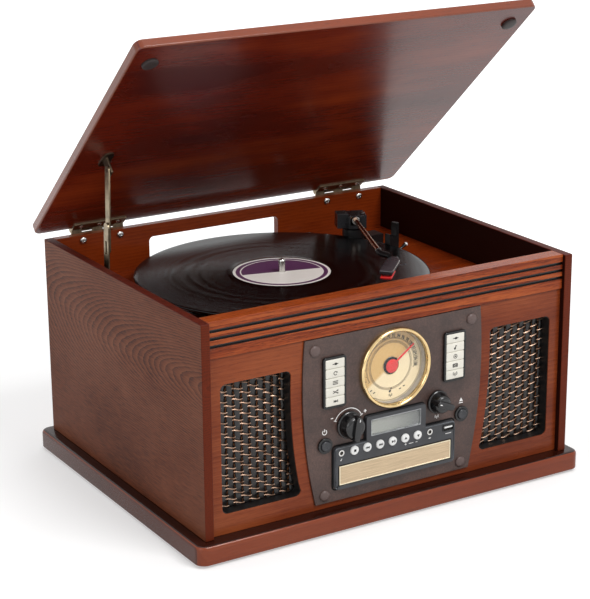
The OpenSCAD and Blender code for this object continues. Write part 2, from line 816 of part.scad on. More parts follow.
module record() {
    color([0.05, 0.05, 0.05]) difference() {
        rod_z(sp_x, sp_y, record_r, record_z, record_z + record_t);
        rod_z(sp_x, sp_y, spindle_r + run, record_z - 1, record_z + record_t + 1);
    }
}

module motor() {
    color("gray") difference() {
        rod_z(motor_x, motor_y, 16, deck_z - deck_t - 27, deck_z - deck_t);
        rod_z(motor_x, motor_y, 1 + run, deck_z - deck_t - 20, deck_z - deck_t + 1);
    }
}

module motor_pulley() {
    color("gold") {
        rod_z(motor_x, motor_y, pulley_r, belt_z - 1, belt_z + belt_h + 1);
        rod_z(motor_x, motor_y, 1, deck_z - deck_t - 19, belt_z);
    }
}

// The outline of a belt round the drum and the pulley, at a distance g from them.
function belt_outline(g) =
    let (big = drum_r + g, small = pulley_r + g, a = acos((big - small) / motor_dist))
    concat(arc(0, 0, big, a, 360 - a, 96), arc(motor_dist, 0, small, -a, a, 24));

module drive_belt() {
    color([0.1, 0.1, 0.1]) translate([sp_x, sp_y, belt_z]) rotate([0, 0, motor_angle])
        linear_extrude(belt_h) difference() {
            polygon(belt_outline(air + belt_t));
            polygon(belt_outline(air));
        }
}

// ---- tonearm ----

module tonearm_base() {
    post = arm_z - tube_r - 6.5;
    color([0.12, 0.12, 0.13]) {
        difference() {
            union() {
                rod_z(arm_x, arm_y, 17, deck_z, deck_z + 4.5);
                rod_z(arm_x, arm_y, 12, deck_z + 4, col_z);
                box(arm_x + 13, arm_x + 32, arm_y - 12, arm_y + 6, deck_z, deck_z + 15);
            }
            rod_z(arm_x, arm_y, shaft_r + run, deck_z + 6, col_z + 1);
        }
        // foot of the arm rest, and the rest's two prongs across the parked arm
        translate([arm_x, arm_y, 0]) rotate([0, 0, rest_angle]) difference() {
            union() {
                box(-9, 9, -rest_dist - 9, -12, deck_z, deck_z + 4.5);
                box(-5, 8.2, -rest_dist - 4, -rest_dist + 4, deck_z + 4, post);
                box(-5, -3, -rest_dist - 4, -rest_dist + 4, post - 1, post + 2.8);
                box(tube_r + 1.5, 8.2, -rest_dist - 4, -rest_dist + 4, post - 1, arm_z + 5);
            }
            rod_y(2, cue_z, pin_r + run, -rest_dist - 5, -rest_dist + 3);
        }
    }
}

// The cue lever's own frame: its axle along Y, its handle towards +X.
module on_cue() {
    translate([arm_x, arm_y, cue_z]) rotate([0, 0, rest_angle]) translate([2, -rest_dist - 4, 0])
        children();
}

module cue_lever() {
    color([0.1, 0.1, 0.1]) on_cue() {
        rod_y(0, 0, 3.4, -4, -air);
        rod_y(0, 0, pin_r, -4, 6);
        translate([0, -2.2, 0]) rotate([0, 66, 0]) {
            cylinder(h = 14, r = 1.4, $fn = fa);
            translate([0, 0, 12]) cylinder(h = 5, r1 = 1.8, r2 = 2.2, $fn = fa);
        }
    }
}

module tonearm_gimbal() {
    color([0.14, 0.14, 0.15]) on_arm() {
        difference() {
            union() {
                box(-7.5, 12.5, -12, 12, arm_z - 10, arm_z + 4.6);
                box(-19, -7, -8, 9, arm_z - 10, arm_z + 6);
                rod_z(0, 0, 8, col_z + air, arm_z - 9);
            }
            box(-5, 5, -13, 9, arm_z - 6, arm_z + 3.7);
            rod_x(0, arm_z, pin_r + run, -8, 9);
        }
        rod_z(0, 0, shaft_r, deck_z + 7, col_z + 1);
    }
}

module tonearm() {
    bend = [head_x + 1.5, -head_y - 1];
    color("silver") {
        on_arm() {
            rod_y(0, arm_z, tube_r, -arm_len, 0);
            rod_x(0, arm_z, 3.4, -4.6, 4.6);
            rod_x(0, arm_z, pin_r, -7.6, 8);
            translate([0, -arm_len, arm_z]) sphere(tube_r, $fn = 32);
            translate([0, -arm_len, arm_z]) rotate([90, 0, atan2(bend[0], -bend[1] - arm_len)])
                cylinder(h = norm(bend + [0, arm_len]), r = tube_r, $fn = fa);
        }
        on_head() {
            box(0, head_w, -head_len, 0, -4, 0);
            box(head_w, head_w + 8, -15, -12.6, -2.6, -1.4);
        }
    }
}

module cartridge() {
    color([0.7, 0.1, 0.08]) {
        on_head() {
            box(2.2, head_w - 2.2, -head_len + 3, -head_len + 22, -7, -4);
            box(1.4, head_w - 1.4, -head_len, -head_len + 17, -9.4, -7);
        }
        translate(stylus_at()) cylinder(h = 2.2, r1 = 0.25, r2 = 0.7, $fn = 16);
    }
}

// The stylus tip, just clear of the record.
function stylus_at() =
    let (hx = head_w / 2, hy = -head_len + 5, h = hy * cos(head_tilt) + 9 * sin(head_tilt),
         x = head_x + hx * cos(head_angle) - h * sin(head_angle),
         y = -head_y + hx * sin(head_angle) + h * cos(head_angle))
    [arm_x + x * cos(arm_angle) - y * sin(arm_angle),
     arm_y + x * sin(arm_angle) + y * cos(arm_angle), record_z + record_t + 0.5];

module transit_screw() {
    color("silver") {
        difference() {
            rod_z(screw_x, screw_y, 6, deck_z + 7, deck_z + 11.5);
            box(screw_x - 7, screw_x + 7, screw_y - 0.8, screw_y + 0.8, deck_z + 10, deck_z + 12);
        }
        rod_z(screw_x, screw_y, screw_r, deck_z - deck_t - 6, deck_z + 8);
    }
}

// ---- lid, hinges and stay ----

module lid() {
    x = lid_w / 2;
    color([0.35, 0.1, 0.06]) on_lid() translate([0, 0, lid_z]) linear_extrude(lid_t)
        polygon(round_rect(-x, x, lid_y0, lid_y1, lid_corner));
}

module lid_bumpers() {
    color([0.12, 0.1, 0.1]) on_lid() both_sides()
        rod_z(in_x, -cab_d / 2 + 20.6, bumper_r, top_z + air, lid_z);
}

module knuckles(first) {
    for (i = [first : 2 : knuckle_n - 1])
        rod_x(hinge_y, hinge_z, knuckle_r, hinge_x - hinge_w / 2 + i * knuckle_w + 0.15,
            hinge_x - hinge_w / 2 + (i + 1) * knuckle_w - 0.15);
}

module hinge_lid_leaves() {
    color("darkkhaki") on_lid() both_sides() difference() {
        union() {
            box(hinge_x - hinge_w / 2, hinge_x + hinge_w / 2, cab_d / 2 - 11, cab_d / 2 - 0.3,
                lid_z - leaf_t, lid_z);
            knuckles(1);
            for (i = [1 : 2 : knuckle_n - 1])
                box(hinge_x - hinge_w / 2 + i * knuckle_w + 0.15,
                    hinge_x - hinge_w / 2 + (i + 1) * knuckle_w - 0.15,
                    cab_d / 2 - 0.5, hinge_y - pin_r - 0.6, lid_z - leaf_t, lid_z);
        }
        rod_x(hinge_y, hinge_z, pin_r + run, hinge_x - hinge_w, hinge_x + hinge_w);
    }
}

module hinge_case_leaves() {
    color("darkkhaki") both_sides() {
        box(hinge_x - hinge_w / 2, hinge_x + hinge_w / 2, cab_d / 2, cab_d / 2 + leaf_t,
            top_z - leaf_drop, top_z + 0.8);
        for (i = [0 : 2 : knuckle_n - 1])
            box(hinge_x - hinge_w / 2 + i * knuckle_w + 0.15,
                hinge_x - hinge_w / 2 + (i + 1) * knuckle_w - 0.15,
                cab_d / 2, cab_d / 2 + leaf_t, top_z, hinge_z);
        knuckles(0);
        rod_x(hinge_y, hinge_z, pin_r, hinge_x - hinge_w / 2 + 0.15, hinge_x + hinge_w / 2 - 0.15);
        for (x = [hinge_x - 21.3, hinge_x + 21.3])
            translate([x, back_in, top_z - 5.5]) rotate([90, 0, 0])
                cylinder(h = 1.5, r1 = 3, r2 = 2.2, $fn = fa);
    }
}

module stay_lid_bracket() {
    p = lid_pivot_closed;
    color("dimgray") on_lid() {
        translate([0, 0, lid_z - 1.5]) linear_extrude(1.5)
            polygon(round_rect(stay_x - 2, stay_x + 10, p[0] - 12, p[0] + 12, 5));
        box(stay_x + stay_t + 0.6, stay_x + stay_t + 2.6, p[0] - 5, p[0] + 5, p[1] - 5, lid_z - 1);
        rod_x(p[0], p[1], stay_pin_r, stay_x - 0.1, stay_x + stay_t + 1);
    }
}

module stay_upper_arm() {
    x0 = stay_x + air / 2;
    color("darkkhaki") difference() {
        bar_x(lid_pivot, elbow, stay_w, x0, x0 + stay_t, 0, 7);
        rod_x(lid_pivot[0], lid_pivot[1], stay_pin_r + run, x0 - 1, x0 + stay_t + 1);
    }
}

module stay_lower_arm() {
    x1 = stay_x - air / 2;
    slot = elbow - stay_dir * 11;
    color("darkkhaki") difference() {
        bar_x(case_pivot, elbow, stay_w + 1, x1 - stay_t, x1, 0, stay_tail);
        rod_x(case_pivot[0], case_pivot[1], stay_pin_r + run, x1 - stay_t - 1, x1 + 1);
        bar_x(slot, elbow, 3, x1 - stay_t - 1, x1 + 1);
    }
}

module stay_case_bracket() {
    p = case_pivot;
    x1 = stay_x - air / 2;
    color("dimgray") {
        box(-in_x, -in_x + 1.8, p[0] - 12, p[0] + 12, p[1] - 12, p[1] + 12);
        rod_x(p[0], p[1], 4, -in_x + 1, x1 - stay_t - air);
        rod_x(p[0], p[1], stay_pin_r, -in_x + 1, x1 - 0.05);
    }
}

// ---- electronics ----

socket_x = in_x - socket_out;
socket_z = z0 + socket_up;

module circuit_boards() {
    color("darkgreen") {
        // control board behind the front plate, with the bodies of both knobs' potentiometers
        difference() {
            union() {
                box(-plate_low_x + 11, plate_low_x - 11, switch_y, switch_y + 1.6, transport_z - 5, plate_z1 - 8);
                for (k = knob_places()) rod_y(k[0], k[1], 8, switch_y + 1.6, switch_y + 9);
                for (z = [transport_z - 2, plate_z1 - 11]) both_sides()
                    rod_y(plate_low_x - 14.5, z, 2, board_y, switch_y);
            }
            rod_y(0, dial_z, dial_r - dial_rim + dial_wall + 0.5, switch_y - 1, switch_y + 3);
            for (k = knob_places()) rod_y(k[0], k[1], shaft_r + run, switch_y - 1, switch_y + 8);
        }
        // main board on its posts
        x = -in_x + main_in;
        box(x, x + main_w, 0, main_l, z0 + 8, z0 + 9.6);
        for (i = [5, main_w - 5], y = [5, main_l - 5]) rod_z(x + i, y, 3, z0, z0 + 8);
        box(x + 10, x + 10 + core_w, main_l - 10 - core_l, main_l - 10, z0 + 9.6, z0 + 9.6 + core_h);
        box(x + main_w - 20, x + main_w - 12, 20, main_l - 30, z0 + 9.6, z0 + 30);
    }
}

module rear_socket_panel() {
    y = cab_d / 2;
    color([0.15, 0.15, 0.15]) {
        difference() {
            plate_xz(round_rect(socket_x - socket_w / 2, socket_x + socket_w / 2,
                socket_z - socket_h / 2, socket_z + socket_h / 2, 3), y, y + 2);
            rod_y(socket_x + inlet_out, socket_z, inlet_r, y - 1, y + 3);
        }
        ring_y(socket_x + inlet_out, socket_z, inlet_r + 2, inlet_r, y - 10, y);
        for (x = [socket_x - phono_out, socket_x - phono_out + phono_pitch])
            difference() {
                rod_y(x, socket_z, phono_r, y + 1, y + 9);
                rod_y(x, socket_z, phono_r - 1, y + 2.5, y + 10);
            }
    }
}

plinth();
rubber_feet();
left_side_panel();
right_side_panel();
back_panel();
front_board();
fluted_rail();
deck_board();
faceplate();
button_surrounds();
control_bezel();
lcd_window();
front_sockets();
dial_bezel();
dial_face();
dial_lens();
dial_pointer();
volume_knob();
tuning_knob();
function_key(1);  // function_key_1
function_key(2);  // function_key_2
function_key(3);  // function_key_3
function_key(4);  // function_key_4
function_key(5);  // function_key_5
source_windows();
transport_button(1);  // transport_button_1
transport_button(2);  // transport_button_2
transport_button(3);  // transport_button_3
transport_button(4);  // transport_button_4
transport_button(5);  // transport_button_5
transport_button(6);  // transport_button_6
push_button(-1);  // power_button
push_button(1);  // eject_button
cd_door();
cd_tray();
cd_mechanism();
speaker_grilles();
speaker_drivers();
platter();
spindle();
record();
motor();
motor_pulley();
drive_belt();
tonearm_base();
tonearm_gimbal();
tonearm();
cartridge();
cue_lever();
transit_screw();
lid();
lid_bumpers();
hinge_lid_leaves();
hinge_case_leaves();
stay_lid_bracket();
stay_upper_arm();
stay_lower_arm();
stay_case_bracket();
circuit_boards();
rear_socket_panel();
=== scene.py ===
"""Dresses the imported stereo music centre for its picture.

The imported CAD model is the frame. Flat joinery is the CAD shape with its edges eased, and everything
round, woven, printed or polished is a surface worked out here with numpy. Lengths are in millimetres
until a mesh is made, and angles are in degrees.
"""
import logging
import math
from collections.abc import Iterable, Sequence
from dataclasses import dataclass, field
from enum import Enum

import bmesh
import bpy
import numpy as np
from mathutils import Matrix, Vector


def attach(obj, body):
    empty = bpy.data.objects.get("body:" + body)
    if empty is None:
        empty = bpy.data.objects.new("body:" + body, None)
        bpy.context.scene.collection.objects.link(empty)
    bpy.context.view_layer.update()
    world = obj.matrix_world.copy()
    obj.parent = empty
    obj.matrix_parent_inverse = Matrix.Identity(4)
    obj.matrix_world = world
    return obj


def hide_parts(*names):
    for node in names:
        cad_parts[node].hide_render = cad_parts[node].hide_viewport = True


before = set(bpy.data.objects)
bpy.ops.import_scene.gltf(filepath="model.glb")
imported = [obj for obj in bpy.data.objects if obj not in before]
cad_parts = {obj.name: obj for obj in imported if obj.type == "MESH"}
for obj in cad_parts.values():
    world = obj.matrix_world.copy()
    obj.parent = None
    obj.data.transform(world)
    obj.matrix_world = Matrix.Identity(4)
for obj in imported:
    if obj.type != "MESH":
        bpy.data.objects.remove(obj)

log = logging.getLogger("music_centre")
Array = np.ndarray
Piece = bpy.types.Object
Material = bpy.types.Material
Socket = bpy.types.NodeSocket
Colour = tuple[int, int, int]
Triple = tuple[float, float, float]
Profile = Sequence[tuple[float, float]]
MM = 0.001
WAVE = 0.314  # a wave texture of this scale repeats once a metre


# ---------------------------------------------------------------- surfaces


class Axis(Enum):
    """A direction of the object's own frame."""

    X = 0
    Y = 1
    Z = 2


@dataclass
class Surface:
    """Points in millimetres and the faces that join them, all of three or all of four corners."""

    points: Array
    faces: Array


@dataclass(frozen=True)
class Place:
    """A local frame: where its origin stands and how its three axes point."""

    origin: Array
    axes: Array

    @staticmethod
    def top(x: float, y: float, z: float) -> "Place":
        """A frame that lies flat and looks up."""
        return Place(np.array([x, y, z], float), np.eye(3))

    @staticmethod
    def front(x: float, z: float, y: float) -> "Place":
        """A frame on the front of the case: first axis right, second up, third towards the viewer."""
        return Place(np.array([x, y, z], float), np.array([[1, 0, 0], [0, 0, 1], [0, -1, 0]], float))

    def moved(self, u: float, v: float, w: float = 0.0) -> "Place":
        """The same frame, moved along its own axes."""
        return Place(self.origin + np.array([u, v, w], float) @ self.axes, self.axes)

    def turned(self, degrees: float, axis: Axis = Axis.Z) -> "Place":
        """The same frame, turned about one of its own axes."""
        turn = np.array(Matrix.Rotation(math.radians(degrees), 3, axis.name)).T
        return Place(self.origin, turn @ self.axes)

    def put(self, points: Array) -> Array:
        """Carries local points to the object's frame."""
        return points @ self.axes + self.origin


HOME = Place.top(0, 0, 0)


def grid(rows: Array, place: Place = HOME, closed: bool = True) -> Surface:
    """Joins rows of points into quads.

    Args:
        rows: Points as (row, column, 3), in the frame of place.
        place: The frame that the points are in.
        closed: Whether the last column joins the first.

    Returns:
        The surface, point (i, j) joined to (i, j + 1), (i + 1, j + 1) and (i + 1, j).
    """
    n, m = rows.shape[:2]
    i = np.arange(n - 1)[:, None]
    j = np.arange(m if closed else m - 1)[None, :]
    k = (j + 1) % m
    quads = np.stack([i * m + j, i * m + k, (i + 1) * m + k, (i + 1) * m + j], -1).reshape(-1, 4)
    return Surface(place.put(rows.reshape(-1, 3)), quads)


def lathe(profile: Profile, place: Place, segments: int = 64) -> Surface:
    """Turns a profile of (radius, height) about the third axis of place.

    Point (i, t) is (r_i cos t, r_i sin t, h_i). A radius of 0 closes the end.

    Args:
        profile: The radius and height of each ring.
        place: The frame whose third axis is turned about.
        segments: The number of points round a ring.

    Returns:
        The turned surface.
    """
    r, h = np.array(profile, float).T
    t = np.linspace(0, 2 * math.pi, segments, endpoint=False)[None, :]
    rows = np.stack([r[:, None] * np.cos(t), r[:, None] * np.sin(t), h[:, None] + 0 * t], -1)
    return grid(rows, place)


def slab(outline: Array, levels: Profile, place: Place, capped: bool = True) -> Surface:
    """Raises an outline through levels of (inset, height) and closes both ends at its middle.

    Each level is the outline moved inwards along its own normals by the inset, a normal being the
    mean of the two edges at a point divided by the cosine of half the turn.

    Args:
        outline: Points as (u, v), anticlockwise.
        levels: The inset and height of each level.
        place: The frame that the outline lies in.
        capped: Whether the ends are closed.

    Returns:
        The raised surface.
    """
    a = outline - np.roll(outline, 1, 0)
    b = np.roll(outline, -1, 0) - outline
    a /= np.linalg.norm(a, axis=1, keepdims=True)
    b /= np.linalg.norm(b, axis=1, keepdims=True)
    mid = (a + b) / np.maximum(np.linalg.norm(a + b, axis=1, keepdims=True), 1e-9)
    cosine = np.clip((mid * a).sum(1, keepdims=True), 0.35, 1)
    inward = np.stack([-mid[:, 1], mid[:, 0]], -1) / cosine
    inset, height = np.array(levels, float).T
    flat = outline[None] + inward[None] * inset[:, None, None]
    rows = np.concatenate([flat, np.broadcast_to(height[:, None, None], (*flat.shape[:2], 1))], -1)
    if capped:
        rows = np.concatenate([rows[:1] * 0 + rows[:1].mean(1, keepdims=True), rows,
                               rows[-1:] * 0 + rows[-1:].mean(1, keepdims=True)])
    return grid(rows, place)


def eased(back: float, front: float, ease: float, steps: int = 4, both: bool = False) -> Profile:
    """Levels whose front edge, or both edges, run round a quarter circle.

    Args:
        back: The lowest height.
        front: The highest height.
        ease: The quarter circle's radius.
        steps: The number of steps round it.
        both: Whether the back edge is eased too.

    Returns:
        Levels of (inset, height) for a slab.
    """
    a = np.linspace(0, math.pi / 2, steps + 1)
    end = [(float(ease * (1 - math.cos(t))), float(front - ease + ease * math.sin(t))) for t in a]
    start = [(i, back + front - h) for i, h in reversed(end)] if both else [(0.0, back)]
    return start + end


def round_rect(w: float, h: float, r: float, steps: int = 5) -> Array:
    """The outline of a rectangle w by h with corners of radius r.

    Args:
        w: Its width.
        h: Its height.
        r: The radius of its corners.
        steps: The number of steps round a corner.

    Returns:
        Its points as (u, v), anticlockwise about its middle.
    """
    t = np.linspace(0, math.pi / 2, steps + 1)
    corners = [(1, 1, 0), (-1, 1, 1), (-1, -1, 2), (1, -1, 3)]
    return np.concatenate([
        np.stack([sx * (w / 2 - r) + r * np.cos(t + q * math.pi / 2),
                  sy * (h / 2 - r) + r * np.sin(t + q * math.pi / 2)], -1)
        for sx, sy, q in corners])


def stacked(rings: Iterable[tuple[Array, float]], place: Place) -> Surface:
    """Joins outlines of as many points, each at its own height."""
    return grid(np.stack([np.column_stack([ring, np.full(len(ring), h)]) for ring, h in rings]), place)


def stepped(w: float, h: float, r: float, levels: Profile, place: Place) -> Surface:
    """A frame of rounded rectangles, all with the same corners.

    Args:
        w: Its width.
        h: Its height.
        r: The radius of its corners.
        levels: How far each rectangle is drawn in, and its height.
        place: The frame that it stands in.

    Returns:
        The surface through the rectangles, from first to last.
    """
    return stacked([(round_rect(w - 2 * d, h - 2 * d, r), t) for d, t in levels], place)


def block(size: Triple, r: float, place: Place, ease: float | None = None) -> Surface:
    """A box of size (u, v, w) standing on the frame's plane, its corners r round and its edges eased."""
    u, v, w = size
    edge = min(r if ease is None else ease, w / 2.01)
    return slab(round_rect(u, v, min(r, u / 2.01, v / 2.01)), eased(0, w, edge, both=True), place)


def pipe(path: Array, radius: float | Array, place: Place = HOME, sides: int = 16,
         up: Triple = (0.0, 0.0, 1.0), flat: float = 1.0) -> Surface:
    """Carries a circle along a path and closes its ends.

    At each point the ring is r (cos t n + flat sin t b), where n is up crossed with the tangent and b
    is the tangent crossed with n.

    Args:
        path: Points along the middle.
        radius: The circle's radius, one for all points or one for each.
        place: The frame that the path is in.
        sides: The number of points round the circle.
        up: A direction that the path never takes.
        flat: How much the circle is flattened along b.

    Returns:
        The closed tube.
    """
    path = np.asarray(path, float)
    tangent = np.gradient(path, axis=0)
    tangent /= np.linalg.norm(tangent, axis=1, keepdims=True)
    n = np.cross(np.array(up, float), tangent)
    n /= np.linalg.norm(n, axis=1, keepdims=True)
    b = np.cross(tangent, n)
    t = np.linspace(0, 2 * math.pi, sides, endpoint=False)
    r = np.broadcast_to(np.asarray(radius, float), len(path))[:, None, None]
    rows = path[:, None] + r * (np.cos(t)[None, :, None] * n[:, None] + flat * np.sin(t)[None, :, None] * b[:, None])
    ends = np.concatenate([path[:1, None] + 0 * rows[:1], rows, path[-1:, None] + 0 * rows[-1:]])
    return grid(ends, place)


def ribbon(path: Array, width: float, place: Place, thick: float = 0.12, ring: bool = False) -> Surface:
    """A flat printed line of a width along a path of (u, v), standing thick above the frame's plane.

    Its four corners at each point are the path moved half a width along its normal, below and above.

    Args:
        path: Points as (u, v).
        width: The line's width.
        place: The frame that it is printed on.
        thick: How far it stands above the plane.
        ring: Whether its end joins its start.

    Returns:
        The line as a closed surface.
    """
    path = np.asarray(path, float)
    step = np.roll(path, -1, 0) - np.roll(path, 1, 0) if ring else np.gradient(path, axis=0)
    step /= np.linalg.norm(step, axis=1, keepdims=True)
    side = np.stack([-step[:, 1], step[:, 0]], -1) * width / 2
    low, high = np.full((len(path), 1), -0.05), np.full((len(path), 1), thick)
    rows = np.stack([np.hstack([path - side, low]), np.hstack([path - side, high]),
                     np.hstack([path + side, high]), np.hstack([path + side, low])], 1)
    if ring:
        return grid(np.concatenate([rows, rows[:1]]), place)
    ends = [rows[:1].mean(1, keepdims=True) + 0 * rows[:1], rows, rows[-1:].mean(1, keepdims=True) + 0 * rows[-1:]]
    return grid(np.concatenate(ends), place)


def circle(r: float, steps: int = 32, start: float = 0.0, end: float = 360.0) -> Array:
    """Points of a circle or arc of radius r, in degrees anticlockwise from the first axis."""
    t = np.radians(np.linspace(start, end, steps, endpoint=end - start < 360))
    return np.stack([r * np.cos(t), r * np.sin(t)], -1)


def linked(name: str, data: bpy.types.ID) -> Piece:
    """A new object in the scene."""
    made = bpy.data.objects.new(name, data)
    bpy.context.scene.collection.objects.link(made)
    return made


def numeral(text: str, size: float, place: Place) -> Surface:
    """A number as flat raised ink, its middle on the frame's origin.

    Args:
        text: The number's digits.
        size: Their height.
        place: The frame that they are printed on.

    Returns:
        The ink as triangles.
    """
    curve = bpy.data.curves.new("numeral", "FONT")
    curve.body, curve.size, curve.align_x, curve.align_y = text, size, "CENTER", "CENTER"
    curve.extrude, curve.resolution_u = 0.06, 2
    holder = linked("numeral", curve)
    mesh = holder.evaluated_get(bpy.context.evaluated_depsgraph_get()).to_mesh()
    mesh.calc_loop_triangles()
    points = np.zeros(len(mesh.vertices) * 3)
    mesh.vertices.foreach_get("co", points)
    corners = np.zeros(len(mesh.loop_triangles) * 3, np.int64)
    mesh.loop_triangles.foreach_get("vertices", corners)
    bpy.data.objects.remove(holder)
    bpy.data.curves.remove(curve)
    corners = corners.reshape(-1, 3)
    return Surface(place.put(points.reshape(-1, 3)), corners)


def mesh_object(name: str, surfaces: Iterable[Surface], sharp: float = 38.0) -> Piece:
    """Makes one object of several surfaces, merged where they meet, shaded smooth up to an angle.

    Args:
        name: The piece's name.
        surfaces: Its surfaces, in millimetres in the object's frame.
        sharp: The angle in degrees above which an edge stays sharp.

    Returns:
        The object, at the origin, with its place in its mesh.
    """
    mesh = bpy.data.meshes.new(name)
    build = bmesh.new()
    for part in surfaces:
        piece = bpy.data.meshes.new("part")
        piece.vertices.add(len(part.points))
        piece.vertices.foreach_set("co", (part.points * MM).astype(np.float32).ravel())
        piece.loops.add(part.faces.size)
        piece.loops.foreach_set("vertex_index", part.faces.astype(np.int32).ravel())
        piece.polygons.add(len(part.faces))
        starts = np.arange(0, part.faces.size, part.faces.shape[1], dtype=np.int32)
        piece.polygons.foreach_set("loop_start", starts)
        piece.update(calc_edges=True)
        one = bmesh.new()
        one.from_mesh(piece)
        bmesh.ops.remove_doubles(one, verts=one.verts, dist=2e-6)
        bmesh.ops.dissolve_degenerate(one, edges=one.edges, dist=1e-6)
        bmesh.ops.recalc_face_normals(one, faces=one.faces)
        one.to_mesh(piece)
        one.free()
        build.from_mesh(piece)
        bpy.data.meshes.remove(piece)
    build.to_mesh(mesh)
    build.free()
    mesh.shade_smooth()
    mesh.set_sharp_from_angle(angle=math.radians(sharp))
    return linked(name, mesh)


def eased_copy(name: str, node: str, width: float, segments: int = 2, limit: float = 40.0) -> Piece:
    """Copies a CAD node, merges its loose triangles into whole faces and rounds its edges.

    Args:
        name: The new piece's name.
        node: The CAD node it is copied from.
        width: How far from each edge the rounding starts, in millimetres.
        segments: The number of faces across the rounding.
        limit: The angle in degrees above which an edge is rounded.

    Returns:
        The object, with a live Bevel modifier.
    """
    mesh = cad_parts[node].data.copy()
    build = bmesh.new()
    build.from_mesh(mesh)
    bmesh.ops.remove_doubles(build, verts=build.verts, dist=3e-6)
    bmesh.ops.dissolve_limit(build, angle_limit=math.radians(0.6), verts=build.verts, edges=build.edges)
    build.to_mesh(mesh)
    build.free()
    mesh.materials.clear()
    mesh.shade_smooth()
    mesh.set_sharp_from_angle(angle=math.radians(limit))
    made = linked(name, mesh)
    bevel = made.modifiers.new("eased_edges", "BEVEL")
    bevel.width, bevel.segments = width * MM, segments
    bevel.limit_method, bevel.angle_limit = "ANGLE", math.radians(limit)
    bevel.miter_outer = "MITER_ARC"
    bevel.harden_normals = True
    return made


# ---------------------------------------------------------------- finishes


def linear(colour: Colour) -> tuple[float, float, float, float]:
    """A colour as the eye sees it, 0 to 255, as the linear colour that a shader takes."""
    c = np.array(colour, float) / 255
    c = np.where(c <= 0.04045, c / 12.92, ((c + 0.055) / 1.055) ** 2.4)
    return (float(c[0]), float(c[1]), float(c[2]), 1.0)


def shade(colour: Colour, by: float, more: float = 0.0) -> Colour:
    """A colour made lighter or darker by a factor and an amount."""
    return tuple(min(255, int(c * by + more)) for c in colour)


def drawn(axis: Axis | None, share: float) -> Triple:
    """Scales that draw a pattern out along an axis, if there is one."""
    return tuple(share if axis is not None and k == axis.value else 1.0 for k in range(3))


